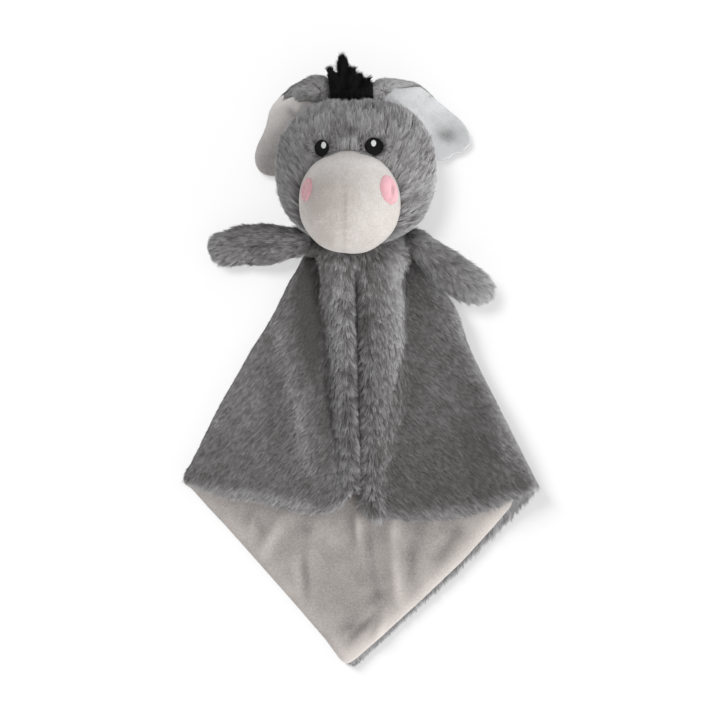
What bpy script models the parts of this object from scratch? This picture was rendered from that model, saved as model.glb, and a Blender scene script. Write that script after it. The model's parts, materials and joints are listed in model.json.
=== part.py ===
"""Comfort blanket with a donkey's head, lying on its back on a flat surface.

Metres. +Z is up from the surface, +Y points to the top of the head, +X to the viewer's right.
The origin is on the surface, under the middle of the whole toy.
"""
import math

import bmesh
import bpy
from mathutils import Matrix, Vector

# Cloth and clearances
PLUSH_WALL = 0.0025         # pressed plush of the blanket and the ears
LINING_WALL = 0.0012        # smooth lining of the blanket and the ears
SKIN_WALL = 0.0018          # plush skin of the head and the arms
VELBOA_WALL = 0.0012        # short-pile skin of the muzzle
SEAM_GAP = 0.0003           # between pieces that are sewn together or lie on each other
HINGE_GAP = 0.0004          # between a moving piece and the seam that it turns on
EAR_GAP = 0.0006            # between an ear and the head that it swings past

# Blanket outline
BLANKET_WIDTH = 0.2032      # between the two side corners
NECK_EDGE_WIDTH = 0.0700
NECK_EDGE_Y = 0.0600
SIDE_CORNER_Y = -0.0705
TIP_X = -0.0060
TIP_Y = -0.1745
TIP_WIDTH = 0.0060
CORNER_RADIUS = 0.0060
LINING_INSET_LEFT = 0.0012  # how far the plush shows beside the lining, lower left
LINING_INSET_RIGHT = 0.0052  # the same, lower right

# Front of the cape: two tubular folds that meet in a valley
HEM_CENTRE_Y = -0.0820
HEM_SAG = 0.0060
VALLEY_TOP_X = -0.0029
VALLEY_HEM_X = 0.0006
FOLD_WIDTHS_LEFT = (0.0200, 0.0145, 0.0080)   # at the neck, at the waist, at the hem
FOLD_WIDTHS_RIGHT = (0.0265, 0.0240, 0.0090)
FOLD_HEIGHTS = (0.0118, 0.0090, 0.0020)
FOLD_WAIST_Y = -0.0150
FOLD_RISE_LENGTH = 0.0120   # the folds grow out of the neck seam over this length
FOLD_DROP = 0.0024          # width of a fold's steep outer side
CREST_OFFSET = 0.0062       # from the valley to a fold's crest
VALLEY_SHARE = 0.35         # height of the cloth in the valley, as a share of the crest
EDGE_SHARE = 0.52           # height of a fold's shoulder, as a share of the crest
FOLD_STATIONS = 6
PANEL_STATIONS = 7
PANEL_ROWS = 14
# Soft billows of the front: start, end, half-width, height
BILLOW_LEFT = ((-0.0430, 0.0150), (-0.0300, -0.0640), 0.0080, 0.0028)
BILLOW_RIGHT = ((0.0680, -0.0120), (0.0840, -0.0620), 0.0090, 0.0026)

# Lining wrinkles below the hem: place across, half-width, height
WRINKLES = ((-0.0420, 0.0070, 0.0012), (-0.0020, 0.0060, 0.0018), (0.0400, 0.0090, 0.0012))
WRINKLE_START_Y = -0.0920
WRINKLE_LENGTH = 0.0520

# Neck seam
NECK_ROLL_Y = 0.0590
NECK_ROLL_X = -0.0020
NECK_ROLL_RADIUS = 0.0080
NECK_ROLL_HALF_LENGTH = 0.0310

# Head
HEAD_CENTRE_X = -0.0022
HEAD_CENTRE_Y = 0.1050
HEAD_HALF_WIDTH = 0.0440
HEAD_HALF_HEIGHT = 0.0405
HEAD_HALF_DEPTH = 0.0260
HEAD_FULLNESS = 2.3         # power of the head's outline: 2 is an ellipse
HEAD_FLAT = 0.0005          # depth of the flat that the head rests on
HEAD_SEAM_Z = 0.0210        # seam between the face panels and the back panel
FACE_X = -0.0064            # the face looks slightly to the viewer's left

# Muzzle
MUZZLE_Y = 0.0872
MUZZLE_Z = 0.0415
MUZZLE_HALF_WIDTH = 0.0280
MUZZLE_HALF_HEIGHT = 0.0285
MUZZLE_HALF_DEPTH = 0.0262

# Embroidery
PATCH_THICKNESS = 0.0008
EYE_RADIUS = 0.0055
EYE_SPREAD = 0.0144
EYE_Y = 0.1166
GLINT_RADIUS = 0.0012
GLINT_OFFSET = (0.0004, 0.0022)
NOSTRIL_RADIUS = 0.0072
NOSTRIL_AZIMUTH = 13.0      # degrees towards the forehead
NOSTRIL_TILT = 54.0         # degrees away from the muzzle's apex

# Ears
EAR_LENGTH = 0.0560
EAR_HALF_WIDTH = 0.0142
EAR_ROOT_RADIUS = 0.0055
EAR_ROOT_Z = 0.0200
EAR_TIP_Z = 0.0030
EAR_CUP = 0.0016            # how far the ear's rims curl towards the viewer
EAR_LINING_INSET = 0.0012
EAR_ROOT_X_LEFT = -0.0225
EAR_ROOT_X_RIGHT = 0.0160
EAR_DROOP_LEFT = 49.0       # degrees below level
EAR_DROOP_RIGHT = 35.0
EAR_STATIONS = 12
EAR_COLUMNS = 6

# Mane
MANE_X = -0.0040
MANE_HALF_WIDTH = 0.0118
MANE_HALF_DEPTH = 0.0085
MANE_Z = 0.0275
MANE_LENGTH = 0.0283
LOCK_RADIUS = 0.0056
LOCK_TIP = 0.22             # a lock's tip as a share of its foot
# Locks: place across as a share, length as a share, lean to the right in degrees
LOCKS = (
    (-0.80, 0.70, -24.0), (-0.45, 1.00, -7.0), (-0.10, 0.80, 4.0),
    (0.25, 0.72, 12.0), (0.60, 0.62, 22.0), (0.88, 0.42, 30.0),
)

# Arms
ARM_ROOT_Y = 0.0665
ARM_ROOT_X_LEFT = -0.0335
ARM_ROOT_X_RIGHT = 0.0315
ARM_ROOT_RADIUS = 0.0075
ARM_LENGTH_LEFT = 0.0530
ARM_LENGTH_RIGHT = 0.0560
ARM_HALF_WIDTH = 0.0104
ARM_HALF_DEPTH = 0.0088
ARM_TURN_LEFT = 176.0       # direction of the arm seen from above, degrees from +X
ARM_TURN_RIGHT = -36.0
ARM_ARCH_LEFT = 0.0030      # how far the arm bows towards the head
ARM_ARCH_RIGHT = 0.0020
ARM_LEVEL_RUN = 0.0060      # the arm stays level over this length, and then comes down
ARM_LIFT = 55.0             # how far an arm lifts off the surface, in degrees
ARM_HINGE_LEFT = 55.0       # direction of the shoulder seam seen from above, degrees from +X
ARM_HINGE_RIGHT = -126.0
HAND_START = 0.66           # where the round hand starts, as a share of the arm's length
ARM_RING = 14

# Colours
GREY_PLUSH = (0.215, 0.210, 0.205)
PALE_LINING = (0.560, 0.520, 0.500)
PALE_VELBOA = (0.680, 0.650, 0.625)
STUFFING_WHITE = (0.850, 0.850, 0.830)
BLACK_THREAD = (0.006, 0.006, 0.006)
WHITE_THREAD = (0.850, 0.850, 0.850)
PINK_THREAD = (0.870, 0.420, 0.500)

# Levels of the stacked layers, from the surface up
BACK_LINING_Z = PLUSH_WALL + SEAM_GAP
FRONT_LINING_Z = BACK_LINING_Z + LINING_WALL + SEAM_GAP
FRONT_PLUSH_Z = FRONT_LINING_Z + LINING_WALL + SEAM_GAP
STACK_TOP = FRONT_PLUSH_Z + PLUSH_WALL
NECK_ROLL_Z = STACK_TOP + SEAM_GAP + NECK_ROLL_RADIUS
ARM_ROOT_Z = STACK_TOP + SEAM_GAP + ARM_ROOT_RADIUS
HEAD_CENTRE = Vector((HEAD_CENTRE_X, HEAD_CENTRE_Y, HEAD_HALF_DEPTH - HEAD_FLAT))
MUZZLE_CENTRE = Vector((FACE_X, MUZZLE_Y, MUZZLE_Z))
NECK_AXIS = Vector((NECK_ROLL_X, NECK_ROLL_Y, NECK_ROLL_Z))


def clear_scene():
    for thing in list(bpy.data.objects):
        bpy.data.objects.remove(thing, do_unlink=True)


def new_collection(name):
    collection = bpy.data.collections.new(name)
    bpy.context.scene.collection.children.link(collection)
    return collection


def finish(name, colour, roughness):
    material = bpy.data.materials.new(name)
    material.use_nodes = True
    shader = material.node_tree.nodes["Principled BSDF"]
    shader.inputs["Base Color"].default_value = (*colour, 1.0)
    shader.inputs["Roughness"].default_value = roughness
    shader.inputs["Metallic"].default_value = 0.0
    return material


def solid(name, mesh, collection, material=None, smooth=True):
    """Makes an object of a bmesh, with its faces pointing out."""
    bmesh.ops.recalc_face_normals(mesh, faces=mesh.faces)
    if mesh.calc_volume(signed=True) < 0:
        bmesh.ops.reverse_faces(mesh, faces=mesh.faces)
    data = bpy.data.meshes.new(name)
    mesh.to_mesh(data)
    mesh.free()
    thing = bpy.data.objects.new(name, data)
    collection.objects.link(thing)
    if material:
        data.materials.append(material)
    if smooth:
        data.shade_smooth()
        data.set_sharp_from_angle(angle=math.radians(50))
    if collection is CUTTERS:
        thing.hide_render = True
        thing.display_type = "WIRE"
    return thing


def combine(thing, cutter, operation="DIFFERENCE"):
    change = thing.modifiers.new(f"{operation.lower()} {cutter.name}", "BOOLEAN")
    change.operation = operation
    change.solver = "EXACT"
    change.object = cutter


def smooth_step(share):
    share = min(max(share, 0.0), 1.0)
    return share * share * (3 - 2 * share)


def blend(start, end, share):
    return start + (end - start) * smooth_step(share)


def straight(start, end, share):
    return start + (end - start) * share


def sheet_mesh(top, under):
    """A closed sheet between two grids of points that have the same rows and columns."""
    mesh = bmesh.new()
    upper = [[mesh.verts.new(point) for point in row] for row in top]
    lower = [[mesh.verts.new(point) for point in row] for row in under]
    rows, columns = len(top), len(top[0])
    for r in range(rows - 1):
        for c in range(columns - 1):
            mesh.faces.new((upper[r][c], upper[r + 1][c], upper[r + 1][c + 1], upper[r][c + 1]))
            mesh.faces.new((lower[r][c], lower[r][c + 1], lower[r + 1][c + 1], lower[r + 1][c]))
    border = [(0, c) for c in range(columns)]
    border += [(r, columns - 1) for r in range(1, rows)]
    border += [(rows - 1, c) for c in range(columns - 2, -1, -1)]
    border += [(r, 0) for r in range(rows - 2, 0, -1)]
    for (r, c), (s, d) in zip(border, border[1:] + border[:1]):
        mesh.faces.new((upper[r][c], upper[s][d], lower[s][d], lower[r][c]))
    bmesh.ops.triangulate(mesh, faces=mesh.faces, quad_method="FIXED")
    return mesh


# Blanket

def side_x(y, side):
    """Where the blanket's upper side edge lies, side -1 for left and 1 for right."""
    share = (NECK_EDGE_Y - y) / (NECK_EDGE_Y - SIDE_CORNER_Y)
    return side * straight(NECK_EDGE_WIDTH, BLANKET_WIDTH, share) / 2


def rounded(corners, radius, steps=4):
    """A closed outline of straight runs with round corners."""
    outline = []
    for i, corner in enumerate(corners):
        corner = Vector(corner)
        before = (Vector(corners[i - 1]) - corner).normalized()
        after = (Vector(corners[(i + 1) % len(corners)]) - corner).normalized()
        half = before.angle(after) / 2
        middle = corner + (before + after).normalized() * radius / math.sin(half)
        start = (corner + before * radius / math.tan(half) - middle).normalized()
        end = (corner + after * radius / math.tan(half) - middle).normalized()
        for k in range(steps + 1):
            outline.append(middle + start.slerp(end, k / steps) * radius)
    return outline


def back_plush_panel(material):
    half_neck, half_width = NECK_EDGE_WIDTH / 2, BLANKET_WIDTH / 2
    outline = rounded([
        (half_neck, NECK_EDGE_Y), (-half_neck, NECK_EDGE_Y), (-half_width, SIDE_CORNER_Y),
        (TIP_X - TIP_WIDTH / 2, TIP_Y), (TIP_X + TIP_WIDTH / 2, TIP_Y), (half_width, SIDE_CORNER_Y),
    ], min(CORNER_RADIUS, TIP_WIDTH / 3))
    curve = bpy.data.curves.new("back_plush_panel", "CURVE")
    curve.dimensions = "2D"
    curve.fill_mode = "BOTH"
    curve.extrude = PLUSH_WALL / 2
    spline = curve.splines.new("POLY")
    spline.points.add(len(outline) - 1)
    for point, place in zip(spline.points, outline):
        point.co = (place.x, place.y, 0.0, 1.0)
    spline.use_cyclic_u = True
    curve.materials.append(material)
    thing = bpy.data.objects.new("back_plush_panel", curve)
    thing.location.z = PLUSH_WALL / 2
    TOY.objects.link(thing)


def wrinkle(x, y):
    """Height of the loose lining below the hem."""
    along = (WRINKLE_START_Y - y) / WRINKLE_LENGTH
    if along <= 0 or along >= 1:
        return 0.0
    height = sum(h * math.exp(-((x - place) / width) ** 2) for place, width, h in WRINKLES)
    return height * math.sin(math.pi * along)


def back_lining_panel(material):
    rows, columns = 16, 13
    bottom_y = TIP_Y + LINING_INSET_RIGHT
    top = []
    for r in range(rows):
        y = straight(NECK_EDGE_Y - SEAM_GAP, bottom_y, r / (rows - 1))
        if y > SIDE_CORNER_Y:
            left, right = side_x(y, -1), side_x(y, 1)
        else:
            share = (SIDE_CORNER_Y - y) / (SIDE_CORNER_Y - TIP_Y)
            left = straight(-BLANKET_WIDTH / 2, TIP_X - TIP_WIDTH / 2, share)
            right = straight(BLANKET_WIDTH / 2, TIP_X + TIP_WIDTH / 2, share)
            right -= (LINING_INSET_RIGHT - LINING_INSET_LEFT) * smooth_step(6 * share)
        left, right = left + LINING_INSET_LEFT, right - LINING_INSET_LEFT
        row = []
        for c in range(columns):
            x = straight(left, right, c / (columns - 1))
            row.append(Vector((x, y, BACK_LINING_Z + LINING_WALL + wrinkle(x, y))))
        top.append(row)
    under = [[point - Vector((0, 0, LINING_WALL)) for point in row] for row in top]
    solid("back_lining_panel", sheet_mesh(top, under), TOY, material)


def fold_size(sizes, y):
    """A fold's width or height at y, between the neck, the waist and the hem."""
    neck, waist, hem = sizes
    if y > FOLD_WAIST_Y:
        return blend(waist, neck, (y - FOLD_WAIST_Y) / (NECK_EDGE_Y - FOLD_WAIST_Y))
    return blend(waist, hem, (FOLD_WAIST_Y - y) / (FOLD_WAIST_Y - HEM_CENTRE_Y))


def fold_shape(along, width):
    """Height of a tubular fold, as a share of its crest, at a distance from the valley."""
    crest = min(CREST_OFFSET, 0.45 * width)
    if along <= crest:
        return VALLEY_SHARE + (1 - VALLEY_SHARE) * math.sin(math.pi / 2 * along / crest)
    if along <= width:
        bend = 1 - math.cos(math.pi / 2 * (along - crest) / (width - crest))
        return 1 - (1 - EDGE_SHARE) * bend
    return EDGE_SHARE * max(0.0, 1 - (along - width) / FOLD_DROP)


def billow(x, y):
    """Height of the soft billows of the front panels."""
    height = 0.0
    for start, end, width, rise in (BILLOW_LEFT, BILLOW_RIGHT):
        start, run = Vector(start), Vector(end) - Vector(start)
        share = (Vector((x, y)) - start).dot(run) / run.length_squared
        near = start + run * share
        fade = smooth_step(2.5 * share) * smooth_step(2.5 * (1.15 - share))
        height += rise * fade * math.exp(-((Vector((x, y)) - near).length / width) ** 2)
    return height


def cape_layer(side, widths, base_z, inset):
    """One surface of a front panel. A deeper layer has an inset, so that its fold nests in the next."""
    rows = []
    top_y, side_bottom = NECK_EDGE_Y, SIDE_CORNER_Y - 0.2 * HEM_SAG
    for r in range(PANEL_ROWS):
        v = r / (PANEL_ROWS - 1)
        centre_y = straight(top_y, HEM_CENTRE_Y, v)
        side_y = straight(top_y, side_bottom, v)
        valley_x = straight(VALLEY_TOP_X, VALLEY_HEM_X, v) + side * SEAM_GAP / 2
        edge_x = side_x(side_y, side) - side * CORNER_RADIUS * 0.5 * v ** 8
        width = fold_size(widths, centre_y)
        nested = max(width - inset, 0.5 * width)
        rise = smooth_step((NECK_ROLL_Y - NECK_ROLL_RADIUS - centre_y) / FOLD_RISE_LENGTH)
        height = fold_size(FOLD_HEIGHTS, centre_y) * rise
        reach = abs(edge_x - valley_x)
        flat_start = width + 1.6 * FOLD_DROP
        places = [nested * k / FOLD_STATIONS for k in range(FOLD_STATIONS + 1)]
        places.append(nested + FOLD_DROP)
        places += [straight(flat_start, reach, k / PANEL_STATIONS) for k in range(1, PANEL_STATIONS + 1)]
        row = []
        for along in places:
            x = valley_x + side * along
            share = along / reach
            y = straight(centre_y, side_y, share) - HEM_SAG * math.sin(math.pi * share) * v ** 3
            z = base_z + height * fold_shape(along, nested) + billow(x, y)
            row.append(Vector((x, y, z)))
        rows.append(row)
    return rows


def front_panels(plush, lining):
    for side, word, widths in ((-1, "left", FOLD_WIDTHS_LEFT), (1, "right", FOLD_WIDTHS_RIGHT)):
        insets = [0.0, PLUSH_WALL, PLUSH_WALL + SEAM_GAP, PLUSH_WALL + SEAM_GAP + LINING_WALL]
        levels = [STACK_TOP, FRONT_PLUSH_Z, FRONT_PLUSH_Z - SEAM_GAP, FRONT_LINING_Z]
        layers = [cape_layer(side, widths, z, inset) for z, inset in zip(levels, insets)]
        solid(f"front_{word}_plush_panel", sheet_mesh(layers[0], layers[1]), TOY, plush)
        solid(f"front_{word}_lining_panel", sheet_mesh(layers[2], layers[3]), TOY, lining)


# Swelling forms

def ellipsoid(name, centre, half, collection, material=None, power=2.0, segments=24, rings=14,
              floor=None):
    """A closed swelling form, its outline seen from above a rounded ellipse of the given power."""
    mesh = bmesh.new()
    bmesh.ops.create_uvsphere(mesh, u_segments=segments, v_segments=rings, radius=1.0)
    for vertex in mesh.verts:
        x, y, z = vertex.co
        reach = math.hypot(x, y)
        if reach > 1e-6:
            c, s = abs(x) / reach, abs(y) / reach
            fuller = 1 / (c ** power + s ** power) ** (1 / power)
            x, y = x * fuller, y * fuller
        vertex.co = Vector((x * half[0], y * half[1], z * half[2])) + Vector(centre)
        if floor is not None:
            vertex.co.z = max(vertex.co.z, floor)
    return solid(name, mesh, collection, material)


def roll(name, radius, half_length, collection, material=None):
    """The round seam between the blanket and the head, turned about the neck's axis."""
    mesh = bmesh.new()
    bmesh.ops.create_uvsphere(mesh, u_segments=16, v_segments=12, radius=1.0)
    for vertex in mesh.verts:
        x, y, z = vertex.co
        around = math.hypot(x, y)
        fuller = (1 - abs(z) ** 4) ** 0.25 / around if around > 1e-6 else 0.0
        vertex.co = NECK_AXIS + Vector((z * half_length, x * fuller * radius, y * fuller * radius))
    return solid(name, mesh, collection, material)


def block(name, low, high):
    mesh = bmesh.new()
    bmesh.ops.create_cube(mesh, size=1.0)
    low, high = Vector(low), Vector(high)
    for vertex in mesh.verts:
        share = vertex.co + Vector((0.5, 0.5, 0.5))
        vertex.co = Vector(straight(low[k], high[k], share[k]) for k in range(3))
    return solid(name, mesh, CUTTERS, smooth=False)


def head_half(extra=0.0):
    return tuple(size + extra for size in (HEAD_HALF_WIDTH, HEAD_HALF_HEIGHT, HEAD_HALF_DEPTH))


def muzzle_half(extra=0.0):
    return tuple(size + extra for size in (MUZZLE_HALF_WIDTH, MUZZLE_HALF_HEIGHT, MUZZLE_HALF_DEPTH))


def head_form(name, extra, collection, material=None, floor=None):
    return ellipsoid(name, HEAD_CENTRE, head_half(extra), collection, material, HEAD_FULLNESS,
                     floor=floor)


def muzzle_form(name, extra, collection, material=None):
    return ellipsoid(name, MUZZLE_CENTRE, muzzle_half(extra), collection, material,
                     segments=22, rings=12)


def head(plush, velboa, stuffing):
    reach = HEAD_HALF_WIDTH + HEAD_HALF_HEIGHT
    x, y, gap = HEAD_CENTRE.x, HEAD_CENTRE.y, SEAM_GAP / 2
    inside = head_form("head inside", -SKIN_WALL, CUTTERS)
    outside = head_form("head outside", SEAM_GAP, CUTTERS)
    face_opening = muzzle_form("face opening", SEAM_GAP - VELBOA_WALL, CUTTERS)
    muzzle_inside = muzzle_form("muzzle inside", -VELBOA_WALL, CUTTERS)
    stuffing_swell = muzzle_form("muzzle stuffing", -VELBOA_WALL - SEAM_GAP, CUTTERS)
    neck_room = roll("neck room", NECK_ROLL_RADIUS + HINGE_GAP, NECK_ROLL_HALF_LENGTH + HINGE_GAP,
                     CUTTERS)
    regions = {
        "head_back_panel": block("back region", (x - reach, y - reach, -reach),
                                 (x + reach, y + reach, HEAD_SEAM_Z - gap)),
        "head_left_panel": block("left region", (x - reach, y - reach, HEAD_SEAM_Z + gap),
                                 (x - gap, y + reach, HEAD_SEAM_Z + reach)),
        "head_right_panel": block("right region", (x + gap, y - reach, HEAD_SEAM_Z + gap),
                                  (x + reach, y + reach, HEAD_SEAM_Z + reach)),
    }
    for name, region in regions.items():
        panel = head_form(name, 0.0, TOY, plush, floor=0.0)
        combine(panel, inside)
        combine(panel, face_opening)
        combine(panel, neck_room)
        combine(panel, region, "INTERSECT")

    seam = FACE_X
    halves = {
        "muzzle_left_panel": block("muzzle left region", (seam - reach, y - reach, 0),
                                   (seam - gap, y + reach, reach * 2)),
        "muzzle_right_panel": block("muzzle right region", (seam + gap, y - reach, 0),
                                    (seam + reach, y + reach, reach * 2)),
    }
    for name, region in halves.items():
        panel = muzzle_form(name, 0.0, TOY, velboa)
        combine(panel, muzzle_inside)
        combine(panel, outside)
        combine(panel, neck_room)
        combine(panel, region, "INTERSECT")

    filling = head_form("head_filling", -SKIN_WALL - SEAM_GAP, TOY, stuffing)
    combine(filling, stuffing_swell, "UNION")
    combine(filling, neck_room)
    return outside


def peg(name, centre, direction, radius, length):
    """A round cutter along a direction."""
    mesh = bmesh.new()
    turn = Vector(direction).to_track_quat("Z", "Y").to_matrix().to_4x4()
    bmesh.ops.create_cone(mesh, cap_ends=True, segments=20, radius1=radius, radius2=radius,
                          depth=length, matrix=Matrix.Translation(centre) @ turn)
    return solid(name, mesh, CUTTERS)


def patches(black, white, pink):
    """Embroidered patches: a thin skin over the head or the muzzle, cut out by a round outline."""
    over_head = head_form("under the eyes", SEAM_GAP, CUTTERS)
    over_eyes = head_form("under the glints", 2 * SEAM_GAP + PATCH_THICKNESS, CUTTERS)
    muzzle_room = muzzle_form("muzzle room", SEAM_GAP, CUTTERS)
    for side, word in ((-1, "left"), (1, "right")):
        x = FACE_X + side * EYE_SPREAD
        centre = (x, EYE_Y, HEAD_CENTRE.z + HEAD_HALF_DEPTH)
        eye = head_form(f"eye_{word}", SEAM_GAP + PATCH_THICKNESS, TOY, black)
        combine(eye, over_head)
        combine(eye, peg(f"eye outline {word}", centre, (0, 0, 1), EYE_RADIUS, HEAD_HALF_DEPTH),
                "INTERSECT")
        combine(eye, muzzle_room)
        glint_centre = (x + GLINT_OFFSET[0], EYE_Y + GLINT_OFFSET[1], centre[2])
        glint = head_form(f"eye_glint_{word}", 2 * (SEAM_GAP + PATCH_THICKNESS), TOY, white)
        combine(glint, over_eyes)
        combine(glint, peg(f"glint outline {word}", glint_centre, (0, 0, 1), GLINT_RADIUS,
                           HEAD_HALF_DEPTH), "INTERSECT")

    over_muzzle = muzzle_form("under the nostrils", SEAM_GAP, CUTTERS)
    for side, word in ((-1, "left"), (1, "right")):
        tilt, azimuth = math.radians(NOSTRIL_TILT), math.radians(NOSTRIL_AZIMUTH)
        direction = Vector((side * math.sin(tilt) * math.cos(azimuth),
                            math.sin(tilt) * math.sin(azimuth), math.cos(tilt)))
        nostril = muzzle_form(f"nostril_{word}", SEAM_GAP + PATCH_THICKNESS, TOY, pink)
        combine(nostril, over_muzzle)
        centre = MUZZLE_CENTRE + direction * MUZZLE_HALF_WIDTH
        combine(nostril, peg(f"nostril outline {word}", centre, direction, NOSTRIL_RADIUS,
                             MUZZLE_HALF_WIDTH), "INTERSECT")


# Ears

def head_top_y(x, z):
    """The y of the head's outer surface above its centre."""
    share = math.sqrt(max(0.0, 1 - ((z - HEAD_CENTRE.z) / HEAD_HALF_DEPTH) ** 2))
    across = abs(x - HEAD_CENTRE.x) / (HEAD_HALF_WIDTH * share)
    return HEAD_CENTRE.y + HEAD_HALF_HEIGHT * share * (1 - across ** HEAD_FULLNESS) ** (1 / HEAD_FULLNESS)


def ear_root(side):
    x = EAR_ROOT_X_LEFT if side < 0 else EAR_ROOT_X_RIGHT
    level = EAR_ROOT_Z + PLUSH_WALL / 2
    return Vector((x, head_top_y(x, level) + EAR_GAP + EAR_ROOT_RADIUS, EAR_ROOT_Z))


def ear_half_width(along, inset):
    """Half the leaf's width, at a distance from the root's centre."""
    root, length, half = EAR_ROOT_RADIUS - inset, EAR_LENGTH - inset, EAR_HALF_WIDTH - inset
    if along <= 0:
        return math.sqrt(max(root ** 2 - along ** 2, 0.0))
    swell = root + (half - root) * smooth_step(along / (0.24 * EAR_LENGTH))
    tip_start = 0.62 * length
    if along > tip_start:
        share = min((along - tip_start) / (length - tip_start), 1.0)
        swell *= math.sqrt(max(1 - share ** 2.2, 0.0))
    return swell


def ear_height(along, across):
    """Level of the ear's underside above the surface."""
    share = smooth_step(along / (0.72 * EAR_LENGTH))
    cup = EAR_CUP * (across / EAR_HALF_WIDTH) ** 2 * smooth_step(4 * along / EAR_LENGTH)
    return straight(EAR_ROOT_Z, EAR_TIP_Z, share) + cup


def ear_layer(side, droop, level, inset):
    root = ear_root(side)
    angle = math.radians(droop)
    forward = Vector((side * math.cos(angle), -math.sin(angle), 0))
    across_way = Vector((-forward.y, forward.x, 0))
    near, far = -(EAR_ROOT_RADIUS - inset) * 0.98, (EAR_LENGTH - inset) * 0.995
    rows = []
    for r in range(EAR_STATIONS + 1):
        share = (1 - math.cos(math.pi * r / EAR_STATIONS)) / 2
        along = straight(near, far, share)
        half = ear_half_width(along, inset)
        row = []
        for c in range(EAR_COLUMNS + 1):
            across = half * straight(-1, 1, c / EAR_COLUMNS)
            place = root + forward * along + across_way * across
            row.append(Vector((place.x, place.y, ear_height(along, across) + level)))
        rows.append(row)
    return rows


def ears(plush, lining):
    head_outside = head_form("ear room", EAR_GAP, CUTTERS)
    for side, word, droop in ((-1, "left", EAR_DROOP_LEFT), (1, "right", EAR_DROOP_RIGHT)):
        back = sheet_mesh(ear_layer(side, droop, PLUSH_WALL, 0.0), ear_layer(side, droop, 0.0, 0.0))
        combine(solid(f"ear_{word}_plush_back", back, TOY, plush), head_outside)
        level = PLUSH_WALL + SEAM_GAP
        inner = sheet_mesh(ear_layer(side, droop, level + LINING_WALL, EAR_LINING_INSET),
                           ear_layer(side, droop, level, EAR_LINING_INSET))
        combine(solid(f"ear_{word}_lining", inner, TOY, lining), head_outside)


# Mane

def mane(material, head_outside):
    """Tapered locks that spring from a strip sewn over the head's top seam."""
    base_y = head_top_y(MANE_X, MANE_Z)
    half = (MANE_HALF_WIDTH, LOCK_RADIUS, MANE_HALF_DEPTH)
    strip = ellipsoid("mane_tuft", (MANE_X, base_y, MANE_Z), half, TOY, material,
                      segments=14, rings=8)
    for k, (place, share, lean) in enumerate(LOCKS):
        length = MANE_LENGTH * share
        angle = math.radians(lean)
        direction = Vector((math.sin(angle), math.cos(angle), 0.06 * (-1) ** k))
        foot = Vector((MANE_X + place * MANE_HALF_WIDTH * 0.8, base_y, MANE_Z + 0.0012 * (-1) ** k))
        mesh = bmesh.new()
        turn = direction.to_track_quat("Z", "Y").to_matrix().to_4x4()
        centre = foot + direction.normalized() * length / 2
        bmesh.ops.create_cone(mesh, cap_ends=True, segments=8, radius1=LOCK_RADIUS,
                              radius2=LOCK_RADIUS * LOCK_TIP, depth=length,
                              matrix=Matrix.Translation(centre) @ turn)
        combine(strip, solid(f"lock {k}", mesh, CUTTERS), "UNION")
    combine(strip, head_outside)


# Arms

def arm_mesh(side, inset):
    """A limb with a ball at its root, centred on the shoulder's hinge, and a round hand."""
    left = side < 0
    root_x, length = (ARM_ROOT_X_LEFT, ARM_LENGTH_LEFT) if left else (ARM_ROOT_X_RIGHT, ARM_LENGTH_RIGHT)
    turn, arch = (ARM_TURN_LEFT, ARM_ARCH_LEFT) if left else (ARM_TURN_RIGHT, ARM_ARCH_RIGHT)
    hand_z = ARM_HALF_DEPTH + 0.0004 if left else STACK_TOP + SEAM_GAP + ARM_HALF_DEPTH
    root = Vector((root_x, ARM_ROOT_Y, ARM_ROOT_Z))
    forward = Vector((math.cos(math.radians(turn)), math.sin(math.radians(turn)), 0))
    across_way = Vector((-forward.y, forward.x, 0))
    bow = across_way * (-side) * arch
    ball, half_width = ARM_ROOT_RADIUS - inset, ARM_HALF_WIDTH - inset
    half_depth, far = ARM_HALF_DEPTH - inset, length - inset
    stations = [-ball * math.cos(math.radians(a)) for a in (25, 50, 72, 90)]
    stations += [straight(0, far * HAND_START, k / 5) for k in range(1, 6)]
    hand = far * (1 - HAND_START)
    stations += [far - hand + hand * math.sin(math.radians(a)) for a in (22, 44, 62, 78)]
    mesh = bmesh.new()
    rings = []
    for along in stations:
        if along < 0:
            wide = deep = math.sqrt(ball ** 2 - along ** 2)
            middle = root + forward * along
        else:
            grow = smooth_step(along / (0.45 * far))
            cap = max(0.0, (along - far + hand) / hand)
            close = math.sqrt(max(0.0, 1 - cap ** 2))
            wide = straight(ball, half_width, grow) * close
            deep = straight(ball, half_depth, grow) * close
            middle = root + forward * along + bow * math.sin(math.pi * min(along / far, 1.0))
            middle.z = straight(ARM_ROOT_Z, hand_z, smooth_step((along - ARM_LEVEL_RUN) / (0.5 * far)))
        ring = []
        for k in range(ARM_RING):
            angle = 2 * math.pi * k / ARM_RING
            place = middle + across_way * wide * math.cos(angle) + Vector((0, 0, deep * math.sin(angle)))
            ring.append(mesh.verts.new(place))
        rings.append(ring)
    for first, second in zip(rings, rings[1:]):
        for k in range(ARM_RING):
            n = (k + 1) % ARM_RING
            mesh.faces.new((first[k], first[n], second[n], second[k]))
    ends = [root - forward * ball, root + forward * far + Vector((0, 0, hand_z - ARM_ROOT_Z))]
    for ring, end in ((rings[0], ends[0]), (rings[-1], ends[1])):
        pole = mesh.verts.new(end)
        for k in range(ARM_RING):
            mesh.faces.new((ring[k], ring[(k + 1) % ARM_RING], pole))
    return mesh


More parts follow.
